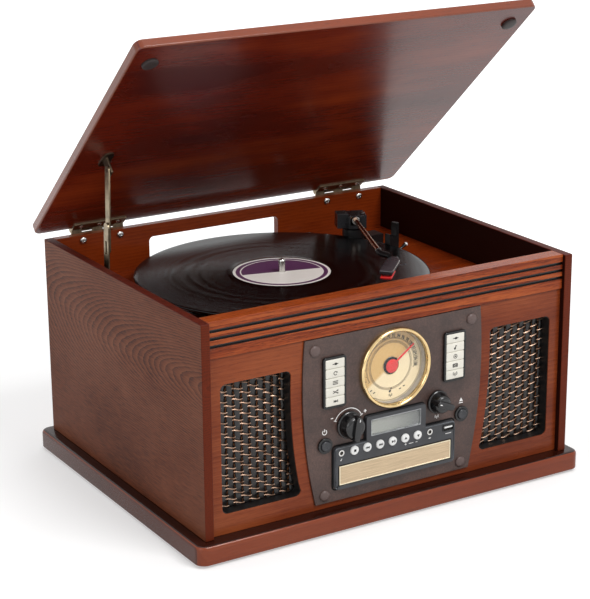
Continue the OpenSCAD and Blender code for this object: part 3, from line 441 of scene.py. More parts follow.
class Graph:
    """A material's nodes, added and linked by short calls. All patterns read Object coordinates."""

    def __init__(self, name: str) -> None:
        """Starts a material with a Principled shader alone."""
        self.material = bpy.data.materials.new(name)
        self.material.use_nodes = True
        self.tree = self.material.node_tree
        self.tree.nodes.clear()
        self.output = self.tree.nodes.new("ShaderNodeOutputMaterial")
        self.shader = self.tree.nodes.new("ShaderNodeBsdfPrincipled")
        self.tree.links.new(self.shader.outputs[0], self.output.inputs[0])

    def node(self, kind: str, inputs: dict[str | int, object], **settings: object) -> bpy.types.Node:
        """Adds a node, sets its settings, and links or sets each of its inputs.

        Args:
            kind: The node's type, without the words ShaderNode.
            inputs: What goes into each input: a socket, a number, a vector or a colour.
            settings: The node's own settings.

        Returns:
            The node.
        """
        made = self.tree.nodes.new("ShaderNode" + kind)
        for key, value in settings.items():
            setattr(made, key, value)
        for key, value in inputs.items():
            if isinstance(value, Socket):
                self.tree.links.new(value, made.inputs[key])
            else:
                made.inputs[key].default_value = value
        return made

    def coords(self, scale: Triple = (1, 1, 1), turn: Triple = (0, 0, 0), shift: Triple = (0, 0, 0)) -> Socket:
        """Object coordinates, shifted (mm), then scaled, then turned (degrees)."""
        at = self.node("TexCoord", {}).outputs["Object"]
        if any(shift):
            at = self.vector("ADD", at, [-s * MM for s in shift])
        angles = [math.radians(t) for t in turn]
        return self.node("Mapping", {"Vector": at, "Rotation": angles, "Scale": scale}).outputs[0]

    def noise(self, at: Socket, scale: float, detail: float = 3.0, rough: float = 0.5, field: bool = False) -> Socket:
        """Cloudy noise, scale clouds to a metre, as one value or as a field of three."""
        return self.node("TexNoise", {"Vector": at, "Scale": scale, "Detail": detail,
                                      "Roughness": rough}).outputs[1 if field else 0]

    def ramp(self, value: Socket, stops: Sequence[tuple[float, Colour]]) -> Socket:
        """Colours along a value, from stops of (position, colour)."""
        made = self.node("ValToRGB", {0: value})
        bar = made.color_ramp.elements
        for k, (at, colour) in enumerate(stops):
            stop = bar[k] if k < 2 else bar.new(at)
            stop.position, stop.color = at, linear(colour)
        return made.outputs[0]

    def mix(self, share: Socket | float, a: object, b: object) -> Socket:
        """Colour a towards colour b by a share; a plain colour is given as the eye sees it."""
        made = self.node("Mix", {0: share}, data_type="RGBA")
        for socket, value in ((made.inputs[6], a), (made.inputs[7], b)):
            if isinstance(value, Socket):
                self.tree.links.new(value, socket)
            else:
                socket.default_value = linear(value)
        return made.outputs[2]

    def calc(self, how: str, a: object, b: object = 0.0, clamp: bool = False) -> Socket:
        """One sum of two values."""
        return self.node("Math", {0: a, 1: b}, operation=how, use_clamp=clamp).outputs[0]

    def fit(self, value: Socket, low: float, high: float, to_low: float = 0.0, to_high: float = 1.0) -> Socket:
        """A value's range low to high carried to another, held at its ends."""
        return self.node("MapRange", {0: value, 1: low, 2: high, 3: to_low, 4: to_high}).outputs[0]

    def part(self, at: Socket, axis: Axis) -> Socket:
        """One coordinate of a vector."""
        return self.node("SeparateXYZ", {0: at}).outputs[axis.value]

    def length(self, at: Socket) -> Socket:
        """A vector's length."""
        return self.node("VectorMath", {0: at}, operation="LENGTH").outputs[1]

    def vector(self, how: str, a: Socket, b: Socket | Sequence[float]) -> Socket:
        """One sum of two vectors."""
        return self.node("VectorMath", {0: a, 1: b}, operation=how).outputs[0]

    def bump(self, height: Socket, depth: float, under: Socket | None = None) -> Socket:
        """Relief of a depth in millimetres, over other relief where that is given."""
        inputs: dict[str | int, object] = {"Height": height, "Distance": depth * MM, "Strength": 1.0}
        if under is not None:
            inputs["Normal"] = under
        return self.node("Bump", inputs).outputs[0]

    def done(self, **sockets: object) -> Material:
        """Links or sets the shader's sockets, with _ for each space in a name, and gives the material."""
        for key, value in sockets.items():
            socket = self.shader.inputs[key.replace("_", " ")]
            if isinstance(value, Socket):
                self.tree.links.new(value, socket)
            else:
                socket.default_value = value
        return self.material


class Figure(Enum):
    """How the growth rings of a board show on its face."""

    STRAIGHT = "straight"
    CATHEDRAL = "cathedral"


@dataclass(frozen=True)
class StainedWood:
    """Veneer under a stain and lacquer: rings, pores and cloudy stain."""

    name: str
    dark: Colour
    mid: Colour
    light: Colour
    grain: Axis = Axis.X
    figure: Figure = Figure.STRAIGHT
    pitch: float = 3.6
    rings: float = 0.3
    fibre: float = 0.35
    cloud: float = 0.4
    pore: float = 0.4
    depth: float = 0.05
    rough: float = 0.3
    specular: float = 0.5
    coat: float = 0.0
    turn: float = 0.0
    fade: tuple[float, float] = (0.0, 0.0)
    heart: Triple = (0.0, 60.0, 186.0)
    zones: tuple[tuple[Axis, float, float, Colour], ...] = ()
    origin: Triple = (0.0, 0.0, 0.0)

    def make(self) -> Material:
        """Rings are a wave of the distance from the heart: a line along the grain, or for arches a point beyond the
        board's front end with distances along the grain shortened; pores are thin dark noise."""
        g = Graph(self.name)
        turn = (self.turn, 0, 0)
        arched = self.figure is Figure.CATHEDRAL
        long, soft, thin = 0.15 if arched else 0.03, 0.3 if arched else 0.12, 0.045
        wander = g.noise(g.coords(drawn(self.grain, soft), turn), 7.0, 2.0, field=True)
        wander = g.vector("SUBTRACT", wander, (0.5, 0.5, 0.5))
        pulled = g.node("VectorMath", {0: wander, "Scale": 0.042 if arched else 0.012}, operation="SCALE").outputs[0]
        bent = g.vector("ADD", g.coords(drawn(self.grain, long), turn, self.heart), pulled)
        inputs = {"Vector": bent, "Scale": WAVE / (self.pitch * MM), "Distortion": 1.6 if arched else 0.7,
                  "Detail": 3.0, "Detail Scale": 1.6, "Detail Roughness": 0.6}
        rings = g.node("TexWave", inputs, wave_type="RINGS", wave_profile="SAW",
                       rings_direction="SPHERICAL" if arched else self.grain.name).outputs[1]
        if self.fade[1] > 0:
            strong = g.fit(g.part(g.coords(), Axis.Z), self.fade[0] * MM, self.fade[1] * MM, 0.25, 1.0)
            rings = g.calc("ADD", 0.5, g.calc("MULTIPLY", strong, g.calc("SUBTRACT", rings, 0.5)))
        fibre = g.noise(g.coords(drawn(self.grain, thin), turn), 1100.0, 3.0, 0.65)
        pores = g.fit(g.noise(g.coords(drawn(self.grain, thin ** 0.9), turn), 1700.0, 1.0), 0.58, 0.66)
        pores = g.calc("MULTIPLY", pores, g.fit(rings, 0.2, 0.9, 0.3, 1.0))
        cloud = g.noise(g.coords(drawn(self.grain, soft ** 0.6), turn), 13.0, 3.0, 0.6)
        tone = g.calc("ADD", g.fit(rings, 0.0, 1.0, 0.5 - self.rings / 2, 0.5 + self.rings / 2),
                      g.fit(fibre, 0.3, 0.7, -self.fibre / 2, self.fibre / 2))
        tone = g.calc("ADD", tone, g.fit(cloud, 0.3, 0.7, -self.cloud / 2, self.cloud / 2), clamp=True)
        colour = g.ramp(tone, [(0.05, self.light), (0.5, self.mid), (0.95, self.dark)])
        # Each zone recolours a band of the object's frame. The side panels' inner faces and the plinth's top and ends
        # get painted shade and a painted reflection this way, and the other zones colour edges.
        for axis, low, high, stain in self.zones:
            away = g.calc("ABSOLUTE", g.part(g.coords(turn=turn, shift=self.origin), axis))
            within = g.calc("MULTIPLY", g.calc("GREATER_THAN", away, low * MM), g.calc("LESS_THAN", away, high * MM))
            zone_stain_and_shade = g.ramp(tone, [(0.05, shade(stain, 1.08)), (0.95, shade(stain, 0.88))])
            colour = g.mix(within, colour, zone_stain_and_shade)
        colour = g.mix(g.calc("MULTIPLY", pores, self.pore), colour, shade(self.dark, 0.5))
        relief = g.bump(g.calc("SUBTRACT", 1.0, pores), self.depth)
        relief = g.bump(g.noise(g.coords(), 24.0, 2.0), 0.12, relief)
        rough = g.fit(cloud, 0.3, 0.7, self.rough - 0.04, self.rough + 0.05)
        return g.done(Base_Color=colour, Roughness=rough, Normal=relief, Coat_Weight=self.coat, Coat_Roughness=0.1,
                      Specular_IOR_Level=self.specular)


@dataclass(frozen=True)
class Moulded:
    """Moulded or painted plastic, rubber or card: an even colour, its cloudiness and its fine texture."""

    name: str
    colour: Colour
    rough: float = 0.4
    grain: float = 2600.0
    depth: float = 0.02
    stray: float = 0.14
    coat: float = 0.0
    specular: float = 0.5

    def make(self) -> Material:
        """Colour and gloss stray with noise, and the texture is fine relief."""
        g = Graph(self.name)
        fine = g.noise(g.coords(), self.grain, 2.0)
        broad = g.noise(g.coords(), 45.0, 4.0, 0.6)
        low, high = shade(self.colour, 1 - self.stray), shade(self.colour, 1 + self.stray * 0.6, 2)
        colour = g.mix(g.fit(g.calc("ADD", g.calc("MULTIPLY", fine, 0.4), g.calc("MULTIPLY", broad, 0.6)), 0.35,
                             0.65), low, high)
        rough = g.fit(broad, 0.3, 0.7, self.rough - 0.04, self.rough + 0.05)
        return g.done(Base_Color=colour, Roughness=rough, Normal=g.bump(fine, self.depth), Coat_Weight=self.coat,
                      Coat_Roughness=0.08, Specular_IOR_Level=self.specular)


@dataclass(frozen=True)
class Metal:
    """Plated or bare metal, brushed along an axis where one is given, and darkened in patches."""

    name: str
    colour: Colour
    rough: float = 0.25
    brushed: Axis | None = None
    tarnish: Colour = (60, 50, 35)
    patches: float = 0.0

    def make(self) -> Material:
        """Brush lines are noise drawn out along the axis, and tarnish follows broad noise."""
        g = Graph(self.name)
        lines = g.noise(g.coords(drawn(self.brushed, 0.02)), 3200.0, 2.0, 0.6)
        broad = g.noise(g.coords(), 120.0, 4.0, 0.65)
        colour = g.mix(g.fit(lines, 0.3, 0.7), shade(self.colour, 0.9), shade(self.colour, 1.06, 4))
        colour = g.mix(g.calc("MULTIPLY", g.fit(broad, 0.42, 0.66), self.patches), colour, self.tarnish)
        rough = g.fit(g.calc("ADD", lines, broad), 0.7, 1.3, self.rough - 0.05, self.rough + 0.08)
        return g.done(Base_Color=colour, Metallic=1.0, Roughness=rough,
                      Normal=g.bump(lines, 0.008 if self.brushed is None else 0.02))


@dataclass(frozen=True)
class PressedPlate:
    """The front plate: brown hide-like plate with four paler round heads."""

    name: str = "plate_brown"
    front: float = -165.0

    def make(self) -> Material:
        """The heads are what stands in front of the plate's face; the hide is cells and noise."""
        g = Graph(self.name)
        at = g.coords()
        cells = g.node("TexVoronoi", {"Vector": at, "Scale": 900.0}, feature="DISTANCE_TO_EDGE").outputs[0]
        fine = g.noise(at, 700.0, 5.0, 0.65)
        cloud = g.noise(at, 34.0, 4.0, 0.6)
        hide = g.ramp(g.calc("ADD", g.calc("MULTIPLY", fine, 0.55), g.calc("MULTIPLY", cloud, 0.45)),
                      [(0.36, (46, 30, 25)), (0.66, (92, 68, 60)), (0.5, (68, 48, 42))])
        heads = g.fit(g.part(at, Axis.Y), (self.front - 0.15) * MM, (self.front - 0.3) * MM)
        colour = g.mix(heads, hide, g.mix(cloud, (70, 54, 50), (104, 84, 80)))
        relief = g.bump(g.fit(cells, 0.0, 0.25), 0.03, g.bump(fine, 0.05))
        return g.done(Base_Color=colour, Roughness=g.fit(fine, 0.3, 0.7, 0.42, 0.56), Normal=relief,
                      Coat_Weight=0.12, Coat_Roughness=0.25)


@dataclass(frozen=True)
class PressedVinyl:
    """A record: fine grooves round its middle, in bands of loud and quiet music."""

    name: str
    x: float
    y: float

    def make(self) -> Material:
        """Grooves are a wave of the distance from the middle, and the bands change its depth and gloss."""
        g = Graph(self.name)
        at = g.coords(shift=(self.x, self.y, 0))
        flat = g.vector("MULTIPLY", at, (1, 1, 0))
        r = g.length(flat)
        groove = g.node("TexWave", {"Vector": flat, "Scale": WAVE / 0.0008}, wave_type="RINGS",
                        rings_direction="Z").outputs[1]
        bands = g.node("TexNoise", {"W": r, "Scale": 150.0, "Detail": 3.0}, noise_dimensions="1D").outputs[0]
        hair = g.node("TexNoise", {"W": r, "Scale": 2500.0, "Detail": 2.0}, noise_dimensions="1D").outputs[0]
        cut = g.calc("MULTIPLY", g.fit(r, 0.057, 0.060), g.fit(r, 0.1475, 0.1455))
        height = g.calc("MULTIPLY", g.calc("ADD", groove, hair), cut)
        colour = g.mix(g.fit(bands, 0.3, 0.7), (3, 3, 3), (8, 7, 8))
        rough = g.calc("ADD", g.fit(bands, 0.3, 0.7, 0.1, 0.2), g.calc("MULTIPLY", cut, 0.05))
        return g.done(Base_Color=colour, Roughness=rough, Normal=g.bump(height, 0.006), Specular_IOR_Level=0.5)


@dataclass(frozen=True)
class RecordLabel:
    """A plain two-tone paper label: rings of white and purple, and a disc half purple and half cream."""

    name: str
    x: float
    y: float
    turn: float = -14.2

    def make(self) -> Material:
        """Rings are steps of the distance from the middle, and the halves are the sign of the turned second axis."""
        g = Graph(self.name)
        at = g.coords(shift=(self.x, self.y, 0), turn=(0, 0, -self.turn))
        flat = g.vector("MULTIPLY", at, (1, 1, 0))
        r = g.length(flat)
        half = g.fit(g.part(at, Axis.Y), -0.0001, 0.0001)
        fibre = g.noise(g.coords(), 900.0, 4.0, 0.7)
        purple = g.mix(fibre, (74, 34, 72), (100, 56, 96))
        cream = g.mix(fibre, (236, 230, 222), (250, 246, 240))
        colour = g.mix(half, cream, purple)
        for inner, tint in ((0.0415, cream), (0.0428, purple), (0.0472, cream)):
            colour = g.mix(g.fit(r, inner - 0.0001, inner + 0.0001), colour, tint)
        return g.done(Base_Color=colour, Roughness=0.5, Normal=g.bump(fibre, 0.02), Coat_Weight=0.15)


@dataclass(frozen=True)
class DialCardWithReflection:
    """A tuning dial's card: gold, under a painted reflection of the lens that turns its lower right cream."""

    name: str
    z: float
    turn: float = -36.0

    def make(self) -> Material:
        """The gold and the painted reflection part along a slanting line through the middle, softly."""
        g = Graph(self.name)
        at = g.coords(shift=(0, 0, self.z), turn=(0, -self.turn, 0))
        share = g.fit(g.part(at, Axis.Z), -0.0014, 0.0014)
        fibre = g.noise(g.coords(), 1200.0, 4.0, 0.6)
        gold = g.mix(fibre, (186, 146, 82), (208, 172, 108))
        # cream is the gold card under the painted lens reflection.
        cream = g.mix(fibre, (214, 194, 152), (230, 214, 178))
        return g.done(Base_Color=g.mix(share, cream, gold), Roughness=0.42, Normal=g.bump(fibre, 0.01),
                      Coat_Weight=0.2)


@dataclass(frozen=True)
class ClearCover:
    """Clear plastic. Light that makes shadows passes it, so that what is behind stays bright."""

    name: str
    tint: Colour = (250, 250, 250)
    rough: float = 0.03

    def make(self) -> Material:
        """A clear shader with faint moulding waves, mixed with plain transparency for shadow rays."""
        g = Graph(self.name)
        waves = g.bump(g.noise(g.coords(), 60.0, 2.0), 0.03)
        g.done(Base_Color=linear(self.tint), Roughness=self.rough, IOR=1.38, Transmission_Weight=1.0, Normal=waves)
        shadow = g.node("LightPath", {}).outputs["Is Shadow Ray"]
        through = g.node("BsdfTransparent", {0: linear(self.tint)}).outputs[0]
        both = g.node("MixShader", {0: shadow, 1: g.shader.outputs[0], 2: through}).outputs[0]
        g.tree.links.new(both, g.output.inputs[0])
        return g.material


@dataclass(frozen=True)
class DisplayGlass:
    """A dark display with no power: grey green, darker to its right, over faint columns."""

    name: str
    half: float = 29.0

    def make(self) -> Material:
        """The tone runs along X, and the columns are a fine wave."""
        g = Graph(self.name)
        at = g.coords()
        across = g.fit(g.part(at, Axis.X), -self.half * MM, self.half * MM)
        colour = g.ramp(across, [(0.0, (140, 142, 134)), (1.0, (78, 82, 80)), (0.55, (126, 128, 122))])
        cells = g.node("TexWave", {"Vector": at, "Scale": WAVE / 0.0011}, bands_direction="X").outputs[1]
        speck = g.noise(at, 800.0, 3.0)
        colour = g.mix(g.calc("MULTIPLY", cells, 0.06), colour, (60, 66, 64))
        return g.done(Base_Color=colour, Roughness=g.fit(speck, 0.3, 0.7, 0.16, 0.24), Coat_Weight=0.6,
                      Coat_Roughness=0.04, Normal=g.bump(cells, 0.004))


@dataclass(frozen=True)
class CircuitBoard:
    """A green board with darker tracks under its lacquer."""

    name: str

    def make(self) -> Material:
        """Tracks are the edges of square cells."""
        g = Graph(self.name)
        cells = g.node("TexVoronoi", {"Vector": g.coords(), "Scale": 160.0}, feature="DISTANCE_TO_EDGE").outputs[0]
        tracks = g.fit(cells, 0.05, 0.09)
        speck = g.noise(g.coords(), 1500.0, 3.0)
        colour = g.mix(tracks, g.mix(speck, (70, 120, 70), (86, 138, 84)), (24, 66, 36))
        return g.done(Base_Color=colour, Roughness=0.35, Normal=g.bump(tracks, 0.04), Coat_Weight=0.4)


# WELL_SHADE is painted shade: the side panels' inner faces, inside the well, are coloured near-black brown.
EDGE, TOP, WELL_SHADE = (98, 37, 16), (84, 30, 20), (34, 7, 3)
SIDE_ZONES = ((Axis.X, 0.0, 202.5, WELL_SHADE), (Axis.Y, 168.3, 175.0, EDGE), (Axis.Z, 231.3, 240.0, TOP))
SIDE = {"dark": (58, 24, 10), "mid": (104, 52, 28), "light": (128, 74, 46), "grain": Axis.Y,
        "figure": Figure.CATHEDRAL, "pitch": 1.9, "rings": 0.66, "fibre": 0.5, "fade": (70.0, 120.0), "pore": 0.6,
        "depth": 0.05, "rough": 0.48, "specular": 0.12, "zones": SIDE_ZONES}
LEFT_WOOD = StainedWood("left_veneer", heart=(-200, -330, 172), **SIDE)
RIGHT_WOOD = StainedWood("right_veneer", heart=(200, -360, 120), **SIDE)
FRONT_WOOD = StainedWood("front_veneer", (94, 34, 12), (124, 54, 24), (148, 74, 38), pitch=3.4, rings=0.16,
                         fibre=0.35, cloud=0.9, pore=0.3, rough=0.26, specular=0.2, heart=(0, 40, -60))
RAIL_WOOD = StainedWood("rail_veneer", (100, 34, 10), (142, 60, 24), (174, 86, 40), pitch=2.6, rings=0.6, fibre=0.6,
                        cloud=0.6, pore=0.7, rough=0.26, specular=0.18, heart=(0, -60, 190))
DECK_WOOD = StainedWood("deck_veneer", (104, 34, 8), (140, 54, 16), (164, 70, 26), pitch=3.4, rings=0.2, fibre=0.3,
                        cloud=0.6, pore=0.25, rough=0.24, specular=0.2, heart=(0, 40, -60))
# The plinth's zones are painted: its top band is a painted reflection of the dark cabinet above, and its ends are
# painted shade.
PLINTH_WOOD_AND_PAINTED_SHADE = StainedWood("plinth_veneer", (98, 36, 14), (126, 54, 26), (142, 68, 38), pitch=3.4, rings=0.14, fibre=0.2,
                        cloud=0.5, pore=0.18, rough=0.12, specular=0.3, heart=(0, 40, -60),
                        zones=((Axis.Z, 21.2, 22.4, (46, 16, 9)), (Axis.X, 222.4, 224.0, (84, 36, 20))))
LID_WOOD = StainedWood("lid_veneer", (74, 16, 8), (108, 32, 16), (146, 56, 24), pitch=4.0, rings=0.1, fibre=0.14,
                       cloud=0.9, pore=0.3, depth=0.012, rough=0.24, coat=0.12, turn=42.0, heart=(0, 60, -80),
                       zones=((Axis.X, 221.2, 226.0, (126, 54, 24)), (Axis.Y, 346.2, 352.0, (128, 54, 20))),
                       origin=(0.0, 172.0, 236.0))
RUBBER = Moulded("foot_rubber", (46, 44, 43), rough=0.7, depth=0.04)
BUMPER = Moulded("bumper_rubber", (40, 30, 28), rough=0.55, depth=0.03)
GLOSS_BLACK = Moulded("gloss_black", (11, 11, 12), rough=0.1, depth=0.004)
KNOB_BLACK = Moulded("knob_black", (15, 15, 17), rough=0.2, depth=0.004, specular=0.6)
SATIN_BLACK = Moulded("satin_black", (18, 18, 19), rough=0.34, depth=0.015, specular=0.4)
ARM_BLACK = Moulded("arm_black", (34, 34, 37), rough=0.26, depth=0.01)
SHELL_GREY = Moulded("shell_grey", (58, 52, 56), rough=0.28, depth=0.01)
CHARCOAL = Moulded("charcoal", (62, 63, 67), rough=0.34, depth=0.015, specular=0.4)
# A lighter grey than the panel: a painted highlight on the panel's edge bead.
BEAD_HIGHLIGHT = Moulded("charcoal_bead", (104, 108, 114), rough=0.25, depth=0.01)
DARK_GREY = Moulded("dark_grey", (44, 45, 49), rough=0.28, depth=0.01)
IVORY = Moulded("ivory_keys", (238, 234, 222), rough=0.32, depth=0.006, stray=0.05, coat=0.2)
WHITE = Moulded("white_buttons", (240, 240, 238), rough=0.3, depth=0.006, stray=0.04, coat=0.2)
INK = Moulded("black_ink", (14, 12, 12), rough=0.7, depth=0.004, specular=0.2)
WHITE_INK = Moulded("white_ink", (250, 248, 246), rough=0.6, depth=0.004, stray=0.03)
BROWN_INK = Moulded("brown_ink", (96, 74, 42), rough=0.6, depth=0.004)
RED = Moulded("red_plastic", (216, 28, 24), rough=0.22, depth=0.006)
CONE = Moulded("speaker_cone", (28, 28, 29), rough=0.8, depth=0.08)
CLOTH = Moulded("grille_cloth", (26, 22, 20), rough=0.9, grain=1800.0, depth=0.2, stray=0.4)
STRAND = Moulded("grille_strand", (24, 21, 20), rough=0.34, grain=1500.0, depth=0.08, stray=0.5)
BRONZE = Metal("grille_bronze", (190, 158, 136), rough=0.26, patches=0.9, tarnish=(78, 50, 34))
BRONZE_DARK = Metal("grille_bronze_dark", (96, 58, 34), rough=0.4, patches=0.6, tarnish=(46, 26, 14))
SILVER = Metal("bright_steel", (206, 204, 200), rough=0.2)
SATIN_SILVER = Metal("display_trim", (176, 178, 180), rough=0.3)
TUBE = Metal("arm_tube", (214, 168, 136), rough=0.2)
STEEL = Metal("zinc_steel", (150, 148, 144), rough=0.36, patches=0.4, tarnish=(92, 88, 82))
BRASS = Metal("dial_brass", (226, 198, 146), rough=0.12, patches=0.2, tarnish=(150, 112, 62))
WALL = Moulded("dial_wall", (150, 142, 130), rough=0.3, depth=0.01, stray=0.3)
OLD_BRASS = Metal("antique_brass", (150, 136, 112), rough=0.3, patches=0.55, tarnish=(66, 54, 38))
DARK_BRASS = Metal("dark_brass", (104, 88, 72), rough=0.3, patches=0.6, tarnish=(52, 40, 32))
CHAMPAGNE = Metal("champagne_door", (198, 176, 146), rough=0.36, brushed=Axis.X)
# A polished line painted lighter than the door metal: a painted highlight along the door's raised edge.
CHAMPAGNE_HIGHLIGHT = Metal("door_edge", (244, 232, 204), rough=0.2)
PLATE = PressedPlate()
CLEAR = ClearCover("dial_lens")
BOARD = CircuitBoard("circuit_board")


# ---------------------------------------------------------------- the object


@dataclass
class Workshop:
    """Hands out finishes and hangs pieces on the model's bodies."""

    ready: dict[str, Material] = field(default_factory=dict)
    count: int = 0

    def finish(self, finish: object) -> Material:
        """A finish's material, made once."""
        if finish.name not in self.ready:
            self.ready[finish.name] = finish.make()
        return self.ready[finish.name]

    def hang(self, piece: Piece, finish: object, body: str, slot: str, *nodes: str) -> Piece:
        """Fits a new piece to the model.

        Args:
            piece: The piece.
            finish: What its surface is.
            body: The body that it moves with.
            slot: The record's material slot that it belongs to; not used.
            nodes: The CAD nodes that it stands for.

        Returns:
            The piece.
        """
        piece.data.materials.append(self.finish(finish))
        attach(piece, body)
        if nodes:
            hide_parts(*nodes)
        self.count += 1
        log.info("%s on %s", piece.name, body)
        return piece

    def make(self, name: str, surfaces: Iterable[Surface], finish: object, slot: str, *nodes: str,
             body: str = "cabinet", sharp: float = 38.0) -> Piece:
        """Makes a piece of surfaces, with edges sharp above an angle, and fits it as hang does."""
        return self.hang(mesh_object(name, surfaces, sharp), finish, body, slot, *nodes)

    def ease(self, node: str, name: str, finish: object, slot: str, width: float = 0.5, segments: int = 2,
             body: str = "cabinet") -> Piece:
        """Stands a copy of a CAD node, its edges eased by a width, in the node's place."""
        return self.hang(eased_copy(name, node, width, segments), finish, body, slot, node)

    def dress(self, finish: object, *nodes: str) -> None:
        """Gives CAD nodes that keep their own shape a finish."""
        for node in nodes:
            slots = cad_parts[node].data.materials
            slots.clear()
            slots.append(self.finish(finish))
            log.info("%s keeps its CAD shape", node)


@dataclass
class Cabinet:
    """The case: plinth, sides, back, deck, front board and the fluted rail."""

    shop: Workshop
    flutes: tuple[float, ...] = (222.7, 215.3, 207.9)
    flute_width: float = 3.0
    flute_floor: float = -162.0
    rail_front: float = -165.0
    inner: float = 202.0

    def build(self) -> None:
        """Eases the boards and lines the flutes with painted shade."""
        shop = self.shop
        shop.ease("plinth", "plinth_moulding", PLINTH_WOOD_AND_PAINTED_SHADE, "front_wood", 0.6)
        shop.ease("left_side_panel", "left_side", LEFT_WOOD, "side_wood", 0.9, 3)
        shop.ease("right_side_panel", "right_side", RIGHT_WOOD, "side_wood", 0.9, 3)
        shop.ease("back_panel", "back_board", DECK_WOOD, "deck_wood", 0.5)
        shop.ease("front_board", "speaker_board", FRONT_WOOD, "front_wood", 0.9, 3)
        shop.ease("fluted_rail", "top_rail", RAIL_WOOD, "front_wood", 0.5)
        shop.dress(DECK_WOOD, "deck_board")
        shop.dress(RUBBER, "rubber_feet")
        self.shade_flutes()

    def shade_flutes(self) -> None:
        """Painted shade in each flute: a dark lining on the channel's three walls, 0.15 inside the wood."""
        half, x = self.flute_width / 2 - 0.12, self.inner - 0.2
        front, floor = self.rail_front + 0.7, self.flute_floor - 0.12
        parts = []
        for z in self.flutes:
            section = np.array([[front, z - half], [floor, z - half], [floor, z + half], [front, z + half],
                                [front, z + half - 0.2], [floor - 0.2, z + half - 0.2],
                                [floor - 0.2, z - half + 0.2], [front, z - half + 0.2]])
            rows = np.stack([np.concatenate([np.full((8, 1), s * x), section], 1) for s in (-1, 1)])
            parts.append(grid(rows))
        self.shop.make("flute_linings", parts, SATIN_BLACK, "black_plastic")


